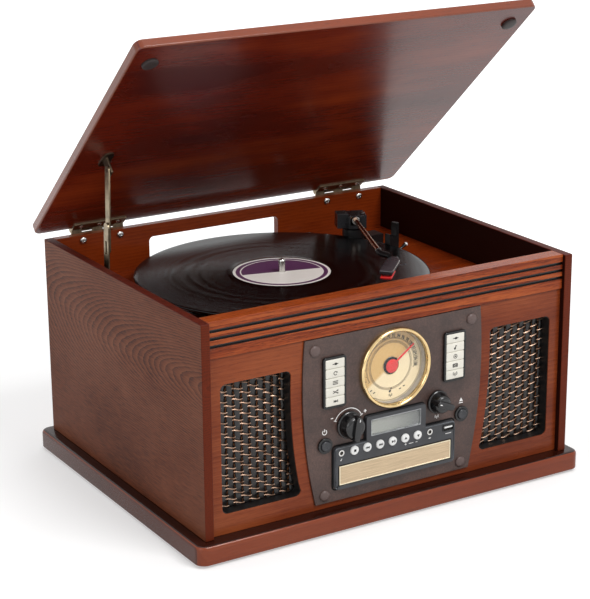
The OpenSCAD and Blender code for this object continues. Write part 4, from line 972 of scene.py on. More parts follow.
@dataclass
class SpeakerCloths:
    """The two speaker openings: a weave of bronze wires over dark strands behind the board, and a black lining."""

    shop: Workshop
    wire_pitch: float = 5.15
    strand_pitch: float = 8.3
    low: float = 42.0
    high: float = 169.4
    outer: float = 189.5
    board: float = -163.0
    back: float = -151.0
    thick: float = 3.0
    swing: float = 0.7
    rest: float = 4.6
    plate: tuple[float, float] = (28.5, 195.6)
    half_plate: float = 89.5
    slant: float = 11.2
    bow: float = 6.9
    gap: float = 12.0

    def plate_edge(self, z: Array | float) -> Array | float:
        """Half the front plate's width at a height: a slanting line bowed by a parabola."""
        u = np.clip((z - self.plate[0]) / (self.plate[1] - self.plate[0]), 0, 1)
        return self.half_plate + self.slant * u + 4 * self.bow * u * (1 - u)

    def outline(self, grow: float, r: float = 6.0) -> Array:
        """The right opening's outline as (x, z), counter-clockwise, grown all round."""
        zl, zh, xo, gap = self.low - grow, self.high + grow, self.outer + grow, self.gap - grow
        xl, xh = float(self.plate_edge(zl)) + gap, float(self.plate_edge(zh)) + gap
        z = np.linspace(zh - r, zl + r, 17)[1:-1]
        bow = np.stack([self.plate_edge(z) + gap, z], -1)
        return np.concatenate([circle(r, 9, -90, 0) + (xo - r, zl + r), circle(r, 9, 0, 90) + (xo - r, zh - r),
                               circle(r, 9, 90, 170) + (xh + r, zh - r), bow,
                               circle(r, 9, 190, 270) + (xl + r, zl + r)])

    def wires(self, side: int) -> list[Surface]:
        """A side's wires, every second one half a wave on.

        A wire's depth is the middle less swing times cos(pi x / pitch), and its height sways by
        sin(pi x / pitch).

        Args:
            side: -1 for the left opening and 1 for the right one.

        Returns:
            The wires, from the lowest up.
        """
        parts, middle = [], self.back + self.thick / 2 - 0.1
        for k, z in enumerate(np.arange(self.low - 3, self.high + self.rest, self.wire_pitch)):
            x = np.linspace(float(self.plate_edge(z)) + self.gap - self.rest, self.outer + self.rest, 72)
            phase = math.pi * (x - self.outer) / self.strand_pitch + math.pi * (k % 2)
            path = np.stack([side * x, middle - self.swing * np.cos(phase), z + np.sin(phase)], -1)
            parts.append(pipe(path, 0.78, sides=6))
        return parts

    def uprights(self, side: int) -> list[Surface]:
        """A side's thin wires between the strands, which sway by sin(pi z / pitch).

        Args:
            side: -1 for the left opening and 1 for the right one.

        Returns:
            The thin wires, from the outermost in.
        """
        parts, middle = [], self.back + self.thick / 2
        for x in np.arange(self.outer - self.strand_pitch / 2, 95.0, -self.strand_pitch):
            z = np.linspace(self.low - self.rest, self.high + self.rest, 60)
            z = z[x > self.plate_edge(z) + self.gap - self.rest]
            if len(z) > 8:
                path = np.stack([side * (x + 0.5 * np.sin(math.pi * z / self.wire_pitch)), middle + 0 * z, z], -1)
                parts.append(pipe(path, 0.55, sides=6))
        return parts

    def strands(self, side: int) -> list[Surface]:
        """A side's flat upright strands, whose depth swings against the wires' by cos(pi z / pitch).

        Args:
            side: -1 for the left opening and 1 for the right one.

        Returns:
            The strands, from the outermost in.
        """
        parts, middle = [], self.back + self.thick / 2 + 0.2
        for k, x in enumerate(np.arange(self.outer, 95.0, -self.strand_pitch)):
            z = np.linspace(self.low - self.rest, self.high + self.rest, 120)
            z = z[x - 2.0 > self.plate_edge(z) + self.gap - self.rest]
            if len(z) < 12:
                continue
            wave = np.cos(math.pi * (z - self.low + 3) / self.wire_pitch + math.pi * (k % 2))
            path = np.stack([side * x + 0 * z, middle + 0.55 * self.swing * wave, z], -1)
            parts.append(pipe(path, 2.8, up=(0.0, 1.0, 0.0), sides=8, flat=0.22))
        return parts

    def build(self) -> None:
        """Weaves both sides, lines the openings and dresses what is behind them."""
        shop, cloths, linings = self.shop, [], []
        for side, word in ((-1, "left"), (1, "right")):
            shop.make(f"{word}_grille_wires", self.wires(side), BRONZE, "grille_weave")
            shop.make(f"{word}_grille_uprights", self.uprights(side), BRONZE_DARK, "grille_weave")
            shop.make(f"{word}_grille_strands", self.strands(side), STRAND, "grille_weave")
            place = Place.front(0, 0, 0)
            edge = self.outline(self.rest + 0.2) * (side, 1)
            cloths.append(slab(edge[::side], [(0, -self.back - self.thick), (0, -self.back - self.thick + 0.5)],
                               place))
            mouth, inside = self.outline(0.05) * (side, 1), self.outline(-0.35) * (side, 1)
            near, far = -self.board - 0.9, -self.back
            linings.append(stacked([(mouth, near), (mouth, far), (inside, far), (inside, near), (mouth, near)],
                                   place))
        shop.make("grille_cloths", cloths, CLOTH, "grille_weave", "speaker_grilles")
        shop.make("opening_linings", linings, SATIN_BLACK, "black_plastic")
        shop.dress(CONE, "speaker_drivers")


class Icon(Enum):
    """Plain signs: bars (ends, width), tips (middle, size, direction) and rings (middle, radius, width, arc)."""

    STOP = (("bar", -1.0, 0, 1.0, 0, 2.0),)
    BACK = (("tip", 0.9, 0, 1.15, 180), ("tip", -0.5, 0, 1.15, 180), ("bar", -1.9, -1, -1.9, 1))
    FORWARD = (("tip", -0.9, 0, 1.15, 0), ("tip", 0.5, 0, 1.15, 0), ("bar", 1.9, -1, 1.9, 1))
    PLAY = (("tip", -0.8, 0, 1.3, 0), ("bar", 0.7, -1, 0.7, 1), ("bar", 1.6, -1, 1.6, 1))
    UP = (("tip", 0, 0, 1.4, 90),)
    DOWN = (("tip", 0, 0, 1.4, -90),)
    DISC = (("ring", 0, 0, 1.5), ("ring", 0, 0, 0.4))
    LOOP = (("ring", 0, 0, 1.3, 0.45, 30, 330), ("tip", 1.25, 0.75, 0.8, 60))
    LIST = (("bar", -2.2, -1.1, 2.2, -1.1), ("bar", -2.2, 0, 2.2, 0), ("bar", -2.2, 1.1, 2.2, 1.1))
    CROSS = (("bar", -2, -1, 1.6, 1), ("bar", -2, 1, 1.6, -1), ("tip", 2, 1, 0.8, 30), ("tip", 2, -1, 0.8, -30))
    PLUG = (("bar", -2.4, 0, -0.6, 0), ("bar", -0.6, 0, 1.2, 0, 1.6), ("bar", 1.2, 0, 2.4, 0, 0.6))
    NOTE = (("ring", -0.6, -0.9, 0.5, 0.7), ("bar", 0.1, -0.9, 0.1, 1.4), ("bar", 0.1, 1.3, 1.2, 0.8, 0.6))
    REEL = (("ring", -0.9, 0, 0.6), ("ring", 0.9, 0, 0.6), ("bar", -2, 1.2, 2, 1.2), ("bar", -2, -1.2, 2, -1.2),
            ("bar", -2, -1.4, -2, 1.4), ("bar", 2, -1.4, 2, 1.4))
    WAVE = (("bar", 0, -1.5, 0, 0.6), ("ring", 0, 0.6, 0.9, 0.4, -50, 50), ("ring", 0, 0.6, 1.8, 0.4, -45, 45),
            ("ring", 0, 0.6, 0.9, 0.4, 130, 230), ("ring", 0, 0.6, 1.8, 0.4, 135, 225))
    POWER = (("ring", 0, 0, 1.4, 0.45, 125, 415), ("bar", 0, 0.2, 0, 1.9))
    EJECT = (("tip", 0, 0.5, 1.5, 90), ("bar", -1.4, -1.2, 1.4, -1.2))


def bar(place: Place, u0: float, v0: float, u1: float, v1: float, width: float) -> Surface:
    """A straight printed bar from one point to another."""
    return ribbon(np.linspace([u0, v0], [u1, v1], 3), width, place)


def wedge(place: Place, u: float, v: float, size: float, toward: float) -> Surface:
    """A printed triangle round a point, its tip in a direction in degrees."""
    t = np.radians(toward + np.array([0, 120, 240]))
    return slab(np.stack([u + size * np.cos(t), v + size * np.sin(t)], -1), [(0, -0.05), (0, 0.12)], place)


def sign(icon: Icon, place: Place, s: float = 1.0) -> list[Surface]:
    """The ink of one sign, its middle on the frame's origin.

    Args:
        icon: Which sign.
        place: The frame that it is printed on.
        s: Its scale. At 1 it is about 4 wide.

    Returns:
        The surfaces that it is made of.
    """
    def line(u0: float, v0: float, u1: float, v1: float, w: float = 0.5) -> Surface:
        """A bar at the sign's scale."""
        return bar(place, u0 * s, v0 * s, u1 * s, v1 * s, w * s)

    def tip(u: float, v: float, size: float, toward: float) -> Surface:
        """A triangle at the sign's scale."""
        return wedge(place, u * s, v * s, size * s, toward)

    def ring(u: float, v: float, r: float, w: float = 0.45, start: float = 0.0, end: float = 360.0) -> Surface:
        """A ring or arc at the sign's scale."""
        return ribbon((circle(r, 24, start, end) + (u, v)) * s, w * s, place, ring=end - start >= 360)

    return [{"bar": line, "tip": tip, "ring": ring}[kind](*sizes) for kind, *sizes in icon.value]


@dataclass
class Dial:
    """The tuning dial: brass ring, card, scale, pointer and lens."""

    shop: Workshop
    z: float = 151.3
    face: float = -165.0
    radius: float = 40.2
    rim: float = 4.1
    card: float = -7.2
    pointer: float = 54.0
    fm: tuple[str, ...] = ("88", "90", "92", "94", "96", "98", "100", "102", "104", "106", "108")
    am: tuple[str, ...] = ("53", "60", "70", "80", "100", "120", "140", "160")

    def ring_profile(self) -> Profile:
        """A round bead on an upright wall, with a step inside it down to the card."""
        mid, half = self.radius - self.rim / 2, self.rim / 2
        a = np.linspace(0, math.pi, 25)
        bead = [(float(mid + half * math.cos(t)), float(1.4 + 3.2 * math.sin(t))) for t in a]
        inner, outer, deep = self.radius - self.rim, self.radius - self.rim + 1.6, self.card - 1.6
        return [(outer, 0), (self.radius, 0), *bead, (inner, 0.2), (inner + 0.3, -0.2), (inner + 0.3, -1.0),
                (inner, -1.4), (inner, deep), (outer, deep), (outer, 0)]

    def front(self, w: float = 0.0) -> Place:
        """A frame at the dial's middle, so far out of the plate."""
        return Place.front(0, self.z, self.face).moved(0, 0, w)

    def at(self, r: float, clock: float, w: float) -> Place:
        """A frame on the card at a radius and a clockwise angle from the top, its second axis outwards."""
        return self.front(w).turned(-clock).moved(0, r, 0)

    def scale(self) -> tuple[list[Surface], list[Surface]]:
        """Black numbers and ticks in an outer band, and a brown line with fine ticks inside them."""
        black, brown = [], []
        w = self.card + 0.03
        base = self.front(w)
        for text, clock in zip(self.fm, np.linspace(-16, 96, len(self.fm))):
            at = self.at(29.2, clock, w)
            narrow = Place(at.origin, at.axes * np.array([[0.74], [1.0], [1.0]]))
            black += [numeral(text, 5.0, narrow.moved(u, 0)) for u in (-0.16, 0.16)]
        for text, clock in zip(self.am, np.linspace(-112, -34, len(self.am))):
            black.append(numeral(text, 2.9, self.at(30.2, clock, w)))
        for clock in np.arange(-118, 106, 2.7):
            long = round((clock + 118) / 2.7) % 5 == 0
            black.append(bar(self.at(26.4, clock, w), 0, 0, 0, 2.2 if long else 1.3, 0.5))
        for clock in np.arange(-180, 179, 3.0):
            brown.append(bar(self.at(24.0, clock, w), 0, -0.8, 0, 0.8, 0.5))
        brown.append(ribbon(circle(22.7, 96), 0.35, base, ring=True))
        brown.append(ribbon(circle(34.6, 96), 0.4, base, ring=True))
        black += sign(Icon.NOTE, base.moved(0, -25.0), 1.4) + sign(Icon.WAVE, base.moved(0, -30.5), 1.0)
        for u, v in ((-22, -22), (-18.6, -24.6), (11, -26), (15.5, -24)):
            black.append(bar(base, u - 1.1, v, u + 1.1, v + 0.6, 1.0))
        return black, brown

    def build(self) -> None:
        """Makes the dial from the card outwards."""
        shop, c = self.shop, self.card
        front = self.front()
        inner = self.radius - self.rim - 0.06
        shop.make("dial_ring", [lathe(self.ring_profile(), front, 128)], BRASS, "brass", "dial_bezel")
        wall = lathe([(inner - 0.02, -1.2), (inner - 0.02, c + 0.1), (inner - 0.5, c + 0.1), (inner - 0.3, -1.2),
                      (inner - 0.02, -1.2)], front, 128)
        shop.make("dial_well", [wall], WALL, "brass")
        card = lathe([(1.6, c), (5, c), (inner, c), (inner, c - 1.2), (5, c - 1.2),
                      (5, c - 4), (1.6, c - 4), (1.6, c)], front, 96)
        shop.make("dial_card", [card], DialCardWithReflection("dial_paper", self.z), "dial_paper", "dial_face")
        black, brown = self.scale()
        shop.make("dial_numbers", black, INK, "dial_paper")
        shop.make("dial_fine_scale", brown, BROWN_INK, "dial_paper")
        collar = lathe([(6.0, c + 0.02), (8.6, c + 0.02), (8.6, c + 0.9), (8.0, c + 1.3), (7.2, c + 0.9),
                        (6.0, c + 0.9), (6.0, c + 0.02)], front, 48)
        shop.make("dial_hub_ring", [collar], GLOSS_BLACK, "black_plastic")
        halo = lathe([(8.7, c + 0.02), (9.5, c + 0.02), (9.3, c + 0.5), (8.9, c + 0.5), (8.7, c + 0.02)], front, 48)
        shop.make("dial_hub_trim", [halo], BRASS, "brass")
        hub = lathe([(0, c - 3), (1.5, c - 3), (1.5, c + 1.8), (6.4, c + 1.8), (6.8, c + 2.1), (6.8, c + 2.6),
                     (6.3, c + 2.9), (3, c + 3.0), (0, c + 3.0)], front, 48)
        needle = slab(np.array([[-1.1, 0], [1.1, 0], [0.8, 31], [-0.8, 31]]),
                      [(0, c + 2.0), (0, c + 2.5), (0.25, c + 2.75)], front.turned(-self.pointer))
        shop.make("tuning_pointer", [hub, needle], RED, "red_plastic", "dial_pointer", body="dial_pointer")
        lens = lathe([(0, 0.45), (inner, 0.4), (inner, 0.9), (inner - 1.2, 1.15), (inner * 0.6, 1.3), (0, 1.38)],
                     front, 96)
        shop.make("dial_glass", [lens], CLEAR, "clear", "dial_lens")


@dataclass
class Knob:
    """A knob: a round skirt, a domed body and a grip fin across it with a white mark."""

    shop: Workshop
    name: str
    node: str
    x: float
    z: float
    radius: float
    height: float
    turn: float
    fin: float = 7.0
    face: float = -165.3

    def build(self) -> None:
        """Turns the skirt and body, and stands the fin on them."""
        r, h = self.radius, self.height
        place = Place.front(self.x, self.z, self.face)
        top = h - 4.2
        body = lathe([(0, -9), (3, -9), (3, 0), (r - 0.4, 0), (r, 0.4), (r, 2.3), (r - 0.5, 2.9), (r - 1.1, 3.2),
                      (r - 2.5, top - 3.6), (r - 3.0, top - 1.8), (r - 4.2, top - 0.5), (r - 6, top),
                      (0, top + 0.1)], place, 72)
        grip, half = place.turned(-self.turn), r - 0.85
        u = np.linspace(-0.96, 0.96, 15)
        bow = self.fin / 2 * np.sqrt(1.02 - np.abs(u) ** 5)
        edge = np.concatenate([np.stack([bow, half * u], -1), np.stack([-bow, -half * u], -1)])
        fin = slab(edge, [(0, 2.5), *eased(h - 9.0, h - 0.2, 1.2)], grip)
        self.shop.make(self.name, [body, fin], KNOB_BLACK, "black_plastic", self.node, sharp=32, body=self.node)
        mark = bar(grip.moved(0, 0, h - 0.25), 0, half - 5.0, 0, half - 2.4, 0.9)
        self.shop.make(self.name + "_mark", [mark], WHITE_INK, "white_plastic", body=self.node)


@dataclass
class FrontPlate:
    """The bowed plate with its key strips, push buttons and printing."""

    shop: Workshop
    face: float = -165.0
    key_x: float = 69.3
    key_pitch: float = 9.3
    strip_z: float = 150.3
    push: tuple[float, float] = (79.4, 88.0)
    volume: tuple[float, float] = (-52.5, 104.0)
    tuning: tuple[float, float] = (50.3, 106.3)
    volume_size: Triple = (13.6, 18.5, 8.0)
    tuning_size: Triple = (11.7, 17.0, -68.0)

    def on(self, side: int, i: int, out: float = 0.0) -> Place:
        """A frame at a key's middle, counted from the top, so far out of the plate."""
        return Place.front(side * self.key_x, self.strip_z + (2 - i) * self.key_pitch, self.face - out)

    def key(self, side: int, i: int, front: float) -> Surface:
        """One key: a cushion with eased edges, 21 by 8.9."""
        return slab(round_rect(20.9, 8.95, 0.8, 4), eased(-4.0, front, 0.7), self.on(side, i))

    def button(self, side: int) -> Surface:
        """A push button with a dished top: the dish is a shallow arc of the radius."""
        x, z = side * self.push[0], self.push[1]
        return lathe([(0, -4), (5.1, -4), (5.1, 2.9), (4.9, 3.4), (4.3, 3.75), (3.6, 3.7), (2.4, 3.4), (1.2, 3.25),
                      (0, 3.2)], Place.front(x, z, self.face), 48)

    def build(self) -> None:
        """Fits the plate, its keys, buttons and printed marks."""
        shop = self.shop
        shop.ease("faceplate", "front_plate", PLATE, "plate_brown", 0.7, 3)
        shop.ease("button_surrounds", "key_frames", GLOSS_BLACK, "black_plastic", 0.5, 3)
        left = (Icon.PLUG, Icon.LOOP, Icon.LIST, Icon.CROSS, Icon.FORWARD)
        right = (Icon.PLUG, Icon.NOTE, Icon.DISC, Icon.REEL, Icon.WAVE)
        for i, icon in enumerate(left):
            body = f"function_key_{i + 1}"
            shop.make(f"key_{i + 1}", [self.key(-1, i, 3.2)], IVORY, "ivory", body, body=body)
            shop.make(f"key_{i + 1}_sign", sign(icon, self.on(-1, i, 3.2), 1.3), INK, "black_plastic", body=body)
        windows = [self.key(1, i, 3.0) for i in range(5)]
        shop.make("source_lamps", windows, IVORY, "ivory", "source_windows")
        ink = [part for i, icon in enumerate(right) for part in sign(icon, self.on(1, i, 3.0), 1.3)]
        shop.make("source_signs", ink, INK, "black_plastic")
        for side, node in ((-1, "power_button"), (1, "eject_button")):
            shop.make(node + "_cap", [self.button(side)], DARK_GREY, "dark_grey", node, body=node)
        Knob(shop, "volume_grip", "volume_knob", *self.volume, *self.volume_size).build()
        Knob(shop, "tuning_grip", "tuning_knob", *self.tuning, *self.tuning_size).build()
        self.print_marks()

    def print_marks(self) -> None:
        """White printing on the plate: the volume arc with its signs, and a plain sign over each push button."""
        v = Place.front(*self.volume, self.face)
        ink = [ribbon(circle(16.2, 40, 25, 158), 0.8, v), bar(v.turned(158).moved(16.2, 0), -1.6, 0, 1.6, 0, 0.8),
               bar(v.turned(25).moved(16.2, 0), -1.6, 0, 1.6, 0, 0.8)]
        minus, plus = v.moved(-18.6, 9.6), v.moved(18.8, 9.8)
        ink += [bar(minus, -1.4, 0, 1.4, 0, 0.9), bar(plus, -1.6, 0, 1.6, 0, 0.9),
                bar(plus.moved(0, 0, 0.04), 0, -1.6, 0, 1.6, 0.9)]
        for side, icon in ((-1, Icon.POWER), (1, Icon.EJECT)):
            ink += sign(icon, Place.front(side * self.push[0], self.push[1] + 13.2, self.face), 1.7)
        ink += sign(Icon.WAVE, Place.front(self.tuning[0], self.tuning[1] - 16.2, self.face), 1.2)
        self.shop.make("plate_printing", ink, WHITE_INK, "white_plastic")


@dataclass
class ControlPanel:
    """The charcoal panel under the dial: display, round buttons, sockets and the disc drawer."""

    shop: Workshop
    face: float = -168.2
    display: Triple = (28.95, 88.05, 104.65)
    row: float = 77.7
    start: float = -48.0
    pitch: float = 14.65
    door: Triple = (65.2, 44.8, 64.6)
    half: tuple[float, float] = (70.3, 34.4)
    heights: Triple = (40.7, 84.3, 108.3)
    corner: float = 3.0
    usb: float = 62.3

    def at(self, x: float, z: float) -> Place:
        """A frame on the panel's face."""
        return Place.front(x, z, self.face)

    def build(self) -> None:
        """Fits everything on the panel."""
        shop = self.shop
        shop.ease("control_bezel", "control_panel", CHARCOAL, "charcoal", 0.55, 3)
        shop.ease("front_sockets", "front_jacks", SILVER, "silver", 0.12)
        usb = Place.front(self.usb, self.row, self.face - 0.65)
        rim = stepped(13.3, 6.4, 0.6, [(0, -0.6), (0, 0.1), (0.9, 0.1), (0.9, -2.6), (0.7, -2.6), (0, -0.6)], usb)
        shop.make("usb_rim", [rim], GLOSS_BLACK, "black_plastic")
        tongue = block((9.6, 1.7, 1.6), 0.3, usb.moved(0, 0.5, -2.0), 0.15)
        shop.make("usb_tongue", [tongue], WHITE, "white_plastic")
        self.build_display()
        icons = (Icon.STOP, Icon.BACK, Icon.FORWARD, Icon.PLAY, Icon.UP, Icon.DOWN)
        for i, icon in enumerate(icons):
            body, place = f"transport_button_{i + 1}", self.at(self.start + i * self.pitch, self.row)
            cap = lathe([(0, -7), (4.45, -7), (4.45, 1.1), (4.2, 1.5), (3.7, 1.66), (0, 1.7)], place, 40)
            shop.make(f"round_button_{i + 1}", [cap], WHITE, "white_plastic", body, body=body)
            shop.make(f"round_button_{i + 1}_sign", sign(icon, place.moved(0, 0, 1.7), 1.2), INK, "black_plastic",
                      body=body)
        ink = [*sign(Icon.NOTE, self.at(self.start - self.pitch, self.row - 6.8), 0.7),
               *sign(Icon.PLUG, self.at(self.start + 6 * self.pitch, self.row - 6.6), 0.7),
               bar(self.at(self.usb, self.row - 6.0), -3.5, 0, 3.5, 0, 0.5)]
        plus = self.at(self.start + 4.5 * self.pitch, self.row - 7.0)
        ink += [bar(plus, -7.5, 0, -5.3, 0, 0.45), bar(plus, -6.4, -1.1, -6.4, 1.1, 0.45),
                bar(plus, 5.3, 0, 7.5, 0, 0.45), bar(plus, -2.6, 0, 2.6, 0, 0.5)]
        shop.make("panel_printing", ink, WHITE_INK, "white_plastic")
        # A black ink ring on the plate round the panel: painted shadow along the panel's edge.
        gap = ribbon(self.outline(0.7), 1.5, Place.front(0, 0, -165.0), 0.16, ring=True)
        shop.make("panel_gap", [gap], INK, "black_plastic")
        # The bead round the panel is paler than the panel: a painted highlight on its edge.
        edge = self.outline(-1.3)
        path = np.concatenate([edge, edge[:1]])
        bead = pipe(np.stack([path[:, 0], np.full(len(path), self.face - 0.05), path[:, 1]], -1), 0.45, sides=8)
        shop.make("panel_bead", [bead], BEAD_HIGHLIGHT, "charcoal")
        slot = ribbon(round_rect(2 * self.door[0] + 1.0, self.door[2] - self.door[1] + 1.0, 0.8), 0.9,
                      self.at(0, (self.door[1] + self.door[2]) / 2), 0.06, ring=True)
        shop.make("drawer_gap", [slot], INK, "black_plastic")
        self.build_door()

    def outline(self, grow: float) -> Array:
        """The panel's outline with the display's hump, as (x, z), counter-clockwise, grown all round."""
        (x, hump), (low, mid, high), r = np.array(self.half) + grow, np.array(self.heights) + grow, self.corner + grow
        low -= 2 * grow
        return np.concatenate([circle(r, 7, -90, 0) + (x - r, low + r), circle(r, 7, 0, 90) + (x - r, mid - r),
                               [[hump, mid]], circle(r, 7, 0, 90) + (hump - r, high - r),
                               circle(r, 7, 90, 180) + (-hump + r, high - r), [[-hump, mid]],
                               circle(r, 7, 90, 180) + (-x + r, mid - r), circle(r, 7, 180, 270) + (-x + r, low + r)])

    def build_display(self) -> None:
        """The display: a pane set back behind a sloping bright frame."""
        x, z0, z1 = self.display
        mid = (z0 + z1) / 2
        place = Place.front(0, mid, -169.0)
        pane = block((2 * x - 1.0, z1 - z0 - 1.0, 1.4), 0.6, place.moved(0, 0, -3.8), 0.1)
        self.shop.make("display_pane", [pane], DisplayGlass("display_glass"), "display", "lcd_window")
        w, h = 2 * x, z1 - z0
        sides = stepped(w, h, 0.8, [(0.02, -0.25), (0.5, -0.25), (1.3, -2.3), (1.3, -2.7), (0.02, -2.7),
                                    (0.02, -0.25)], place)
        self.shop.make("display_frame", [sides], SATIN_SILVER, "silver")
        cover = block((w - 0.3, h - 0.3, 0.35), 0.6, place.moved(0, 0, -0.75), 0.08)
        self.shop.make("display_cover", [cover], CLEAR, "clear")

    def build_door(self) -> None:
        """The drawer's door: a brushed panel in a raised edge, with a polished line on it painted lighter as a
        painted highlight, and a plain middle.
        """
        x, z0, z1 = self.door
        place = Place.front(0, (z0 + z1) / 2, -166.6)
        w, h = 2 * x - 0.1, z1 - z0 - 0.05
        levels = ((0.0, 0.0), (0.0, 1.6), (0.25, 2.0), (1.1, 2.0), (1.4, 1.7), (9.0, 1.7))
        rings = [(round_rect(w - 2 * d, h - 2 * d, 0.4), t) for d, t in levels]
        panel = stacked([*rings, (np.sign(rings[0][0]) * (w / 2 - 9.0, 0), 1.7)], place)
        self.shop.make("drawer_door", [panel], CHAMPAGNE, "champagne", "cd_door", body="disc_drawer")
        # The bright line on the raised edge is a painted highlight.
        line = ribbon(round_rect(2 * x - 1.6, z1 - z0 - 1.55, 0.4), 0.75, place.moved(0, 0, 2.0), 0.06, ring=True)
        self.shop.make("drawer_door_edge", [line], CHAMPAGNE_HIGHLIGHT, "champagne", body="disc_drawer")
        self.shop.dress(DARK_GREY, "cd_tray")


@dataclass
class Turntable:
    """Platter, spindle, record and its label."""

    shop: Workshop
    x: float = -19.0
    y: float = 12.0
    under: float = 203.6
    over: float = 205.3
    radius: float = 151.0
    tip: float = 219.3

    def build(self) -> None:
        """Turns the record and what it lies on."""
        shop, place = self.shop, Place.top(self.x, self.y, 0)
        r, lo, hi = self.radius, self.under, self.over
        profile = [(3.63, lo), (r - 0.8, lo), (r - 0.15, lo + 0.35), (r, lo + 0.85), (r - 0.15, hi - 0.35),
                   (r - 0.7, hi), (r - 2.6, hi - 0.02), (r - 4.4, hi - 0.22), (60.5, hi - 0.22), (57.5, hi - 0.12),
                   (52.5, hi - 0.12), (51.8, hi - 0.04), (3.63, hi - 0.04), (3.63, lo)]
        shop.make("record_disc", [lathe(profile, place, 256)], PressedVinyl("record_vinyl", self.x, self.y),
                  "vinyl", "record", sharp=50, body="turntable")
        label = [(3.7, hi - 0.05), (50.0, hi - 0.05), (50.0, hi - 0.01), (49.8, hi), (3.9, hi), (3.7, hi - 0.05)]
        shop.make("record_label", [lathe(label, place, 128)], RecordLabel("label_paper", self.x, self.y), "vinyl",
                  body="turntable")
        t = self.tip
        pin = [(0, 175.5), (3.575, 175.5), (3.575, 186.5), (14, 186.5), (14, 188.9), (13.7, 189.2), (3.575, 189.2),
               (3.575, t - 3.0), (3.4, t - 1.9), (2.9, t - 0.9), (2.0, t - 0.25), (0.9, t - 0.02), (0, t)]
        shop.make("spindle_pin", [lathe(pin, place, 48)], SILVER, "silver", "spindle")
        shop.dress(DARK_GREY, "platter")
        shop.dress(STEEL, "motor")
        shop.dress(BRASS, "motor_pulley")
        shop.dress(RUBBER, "drive_belt")


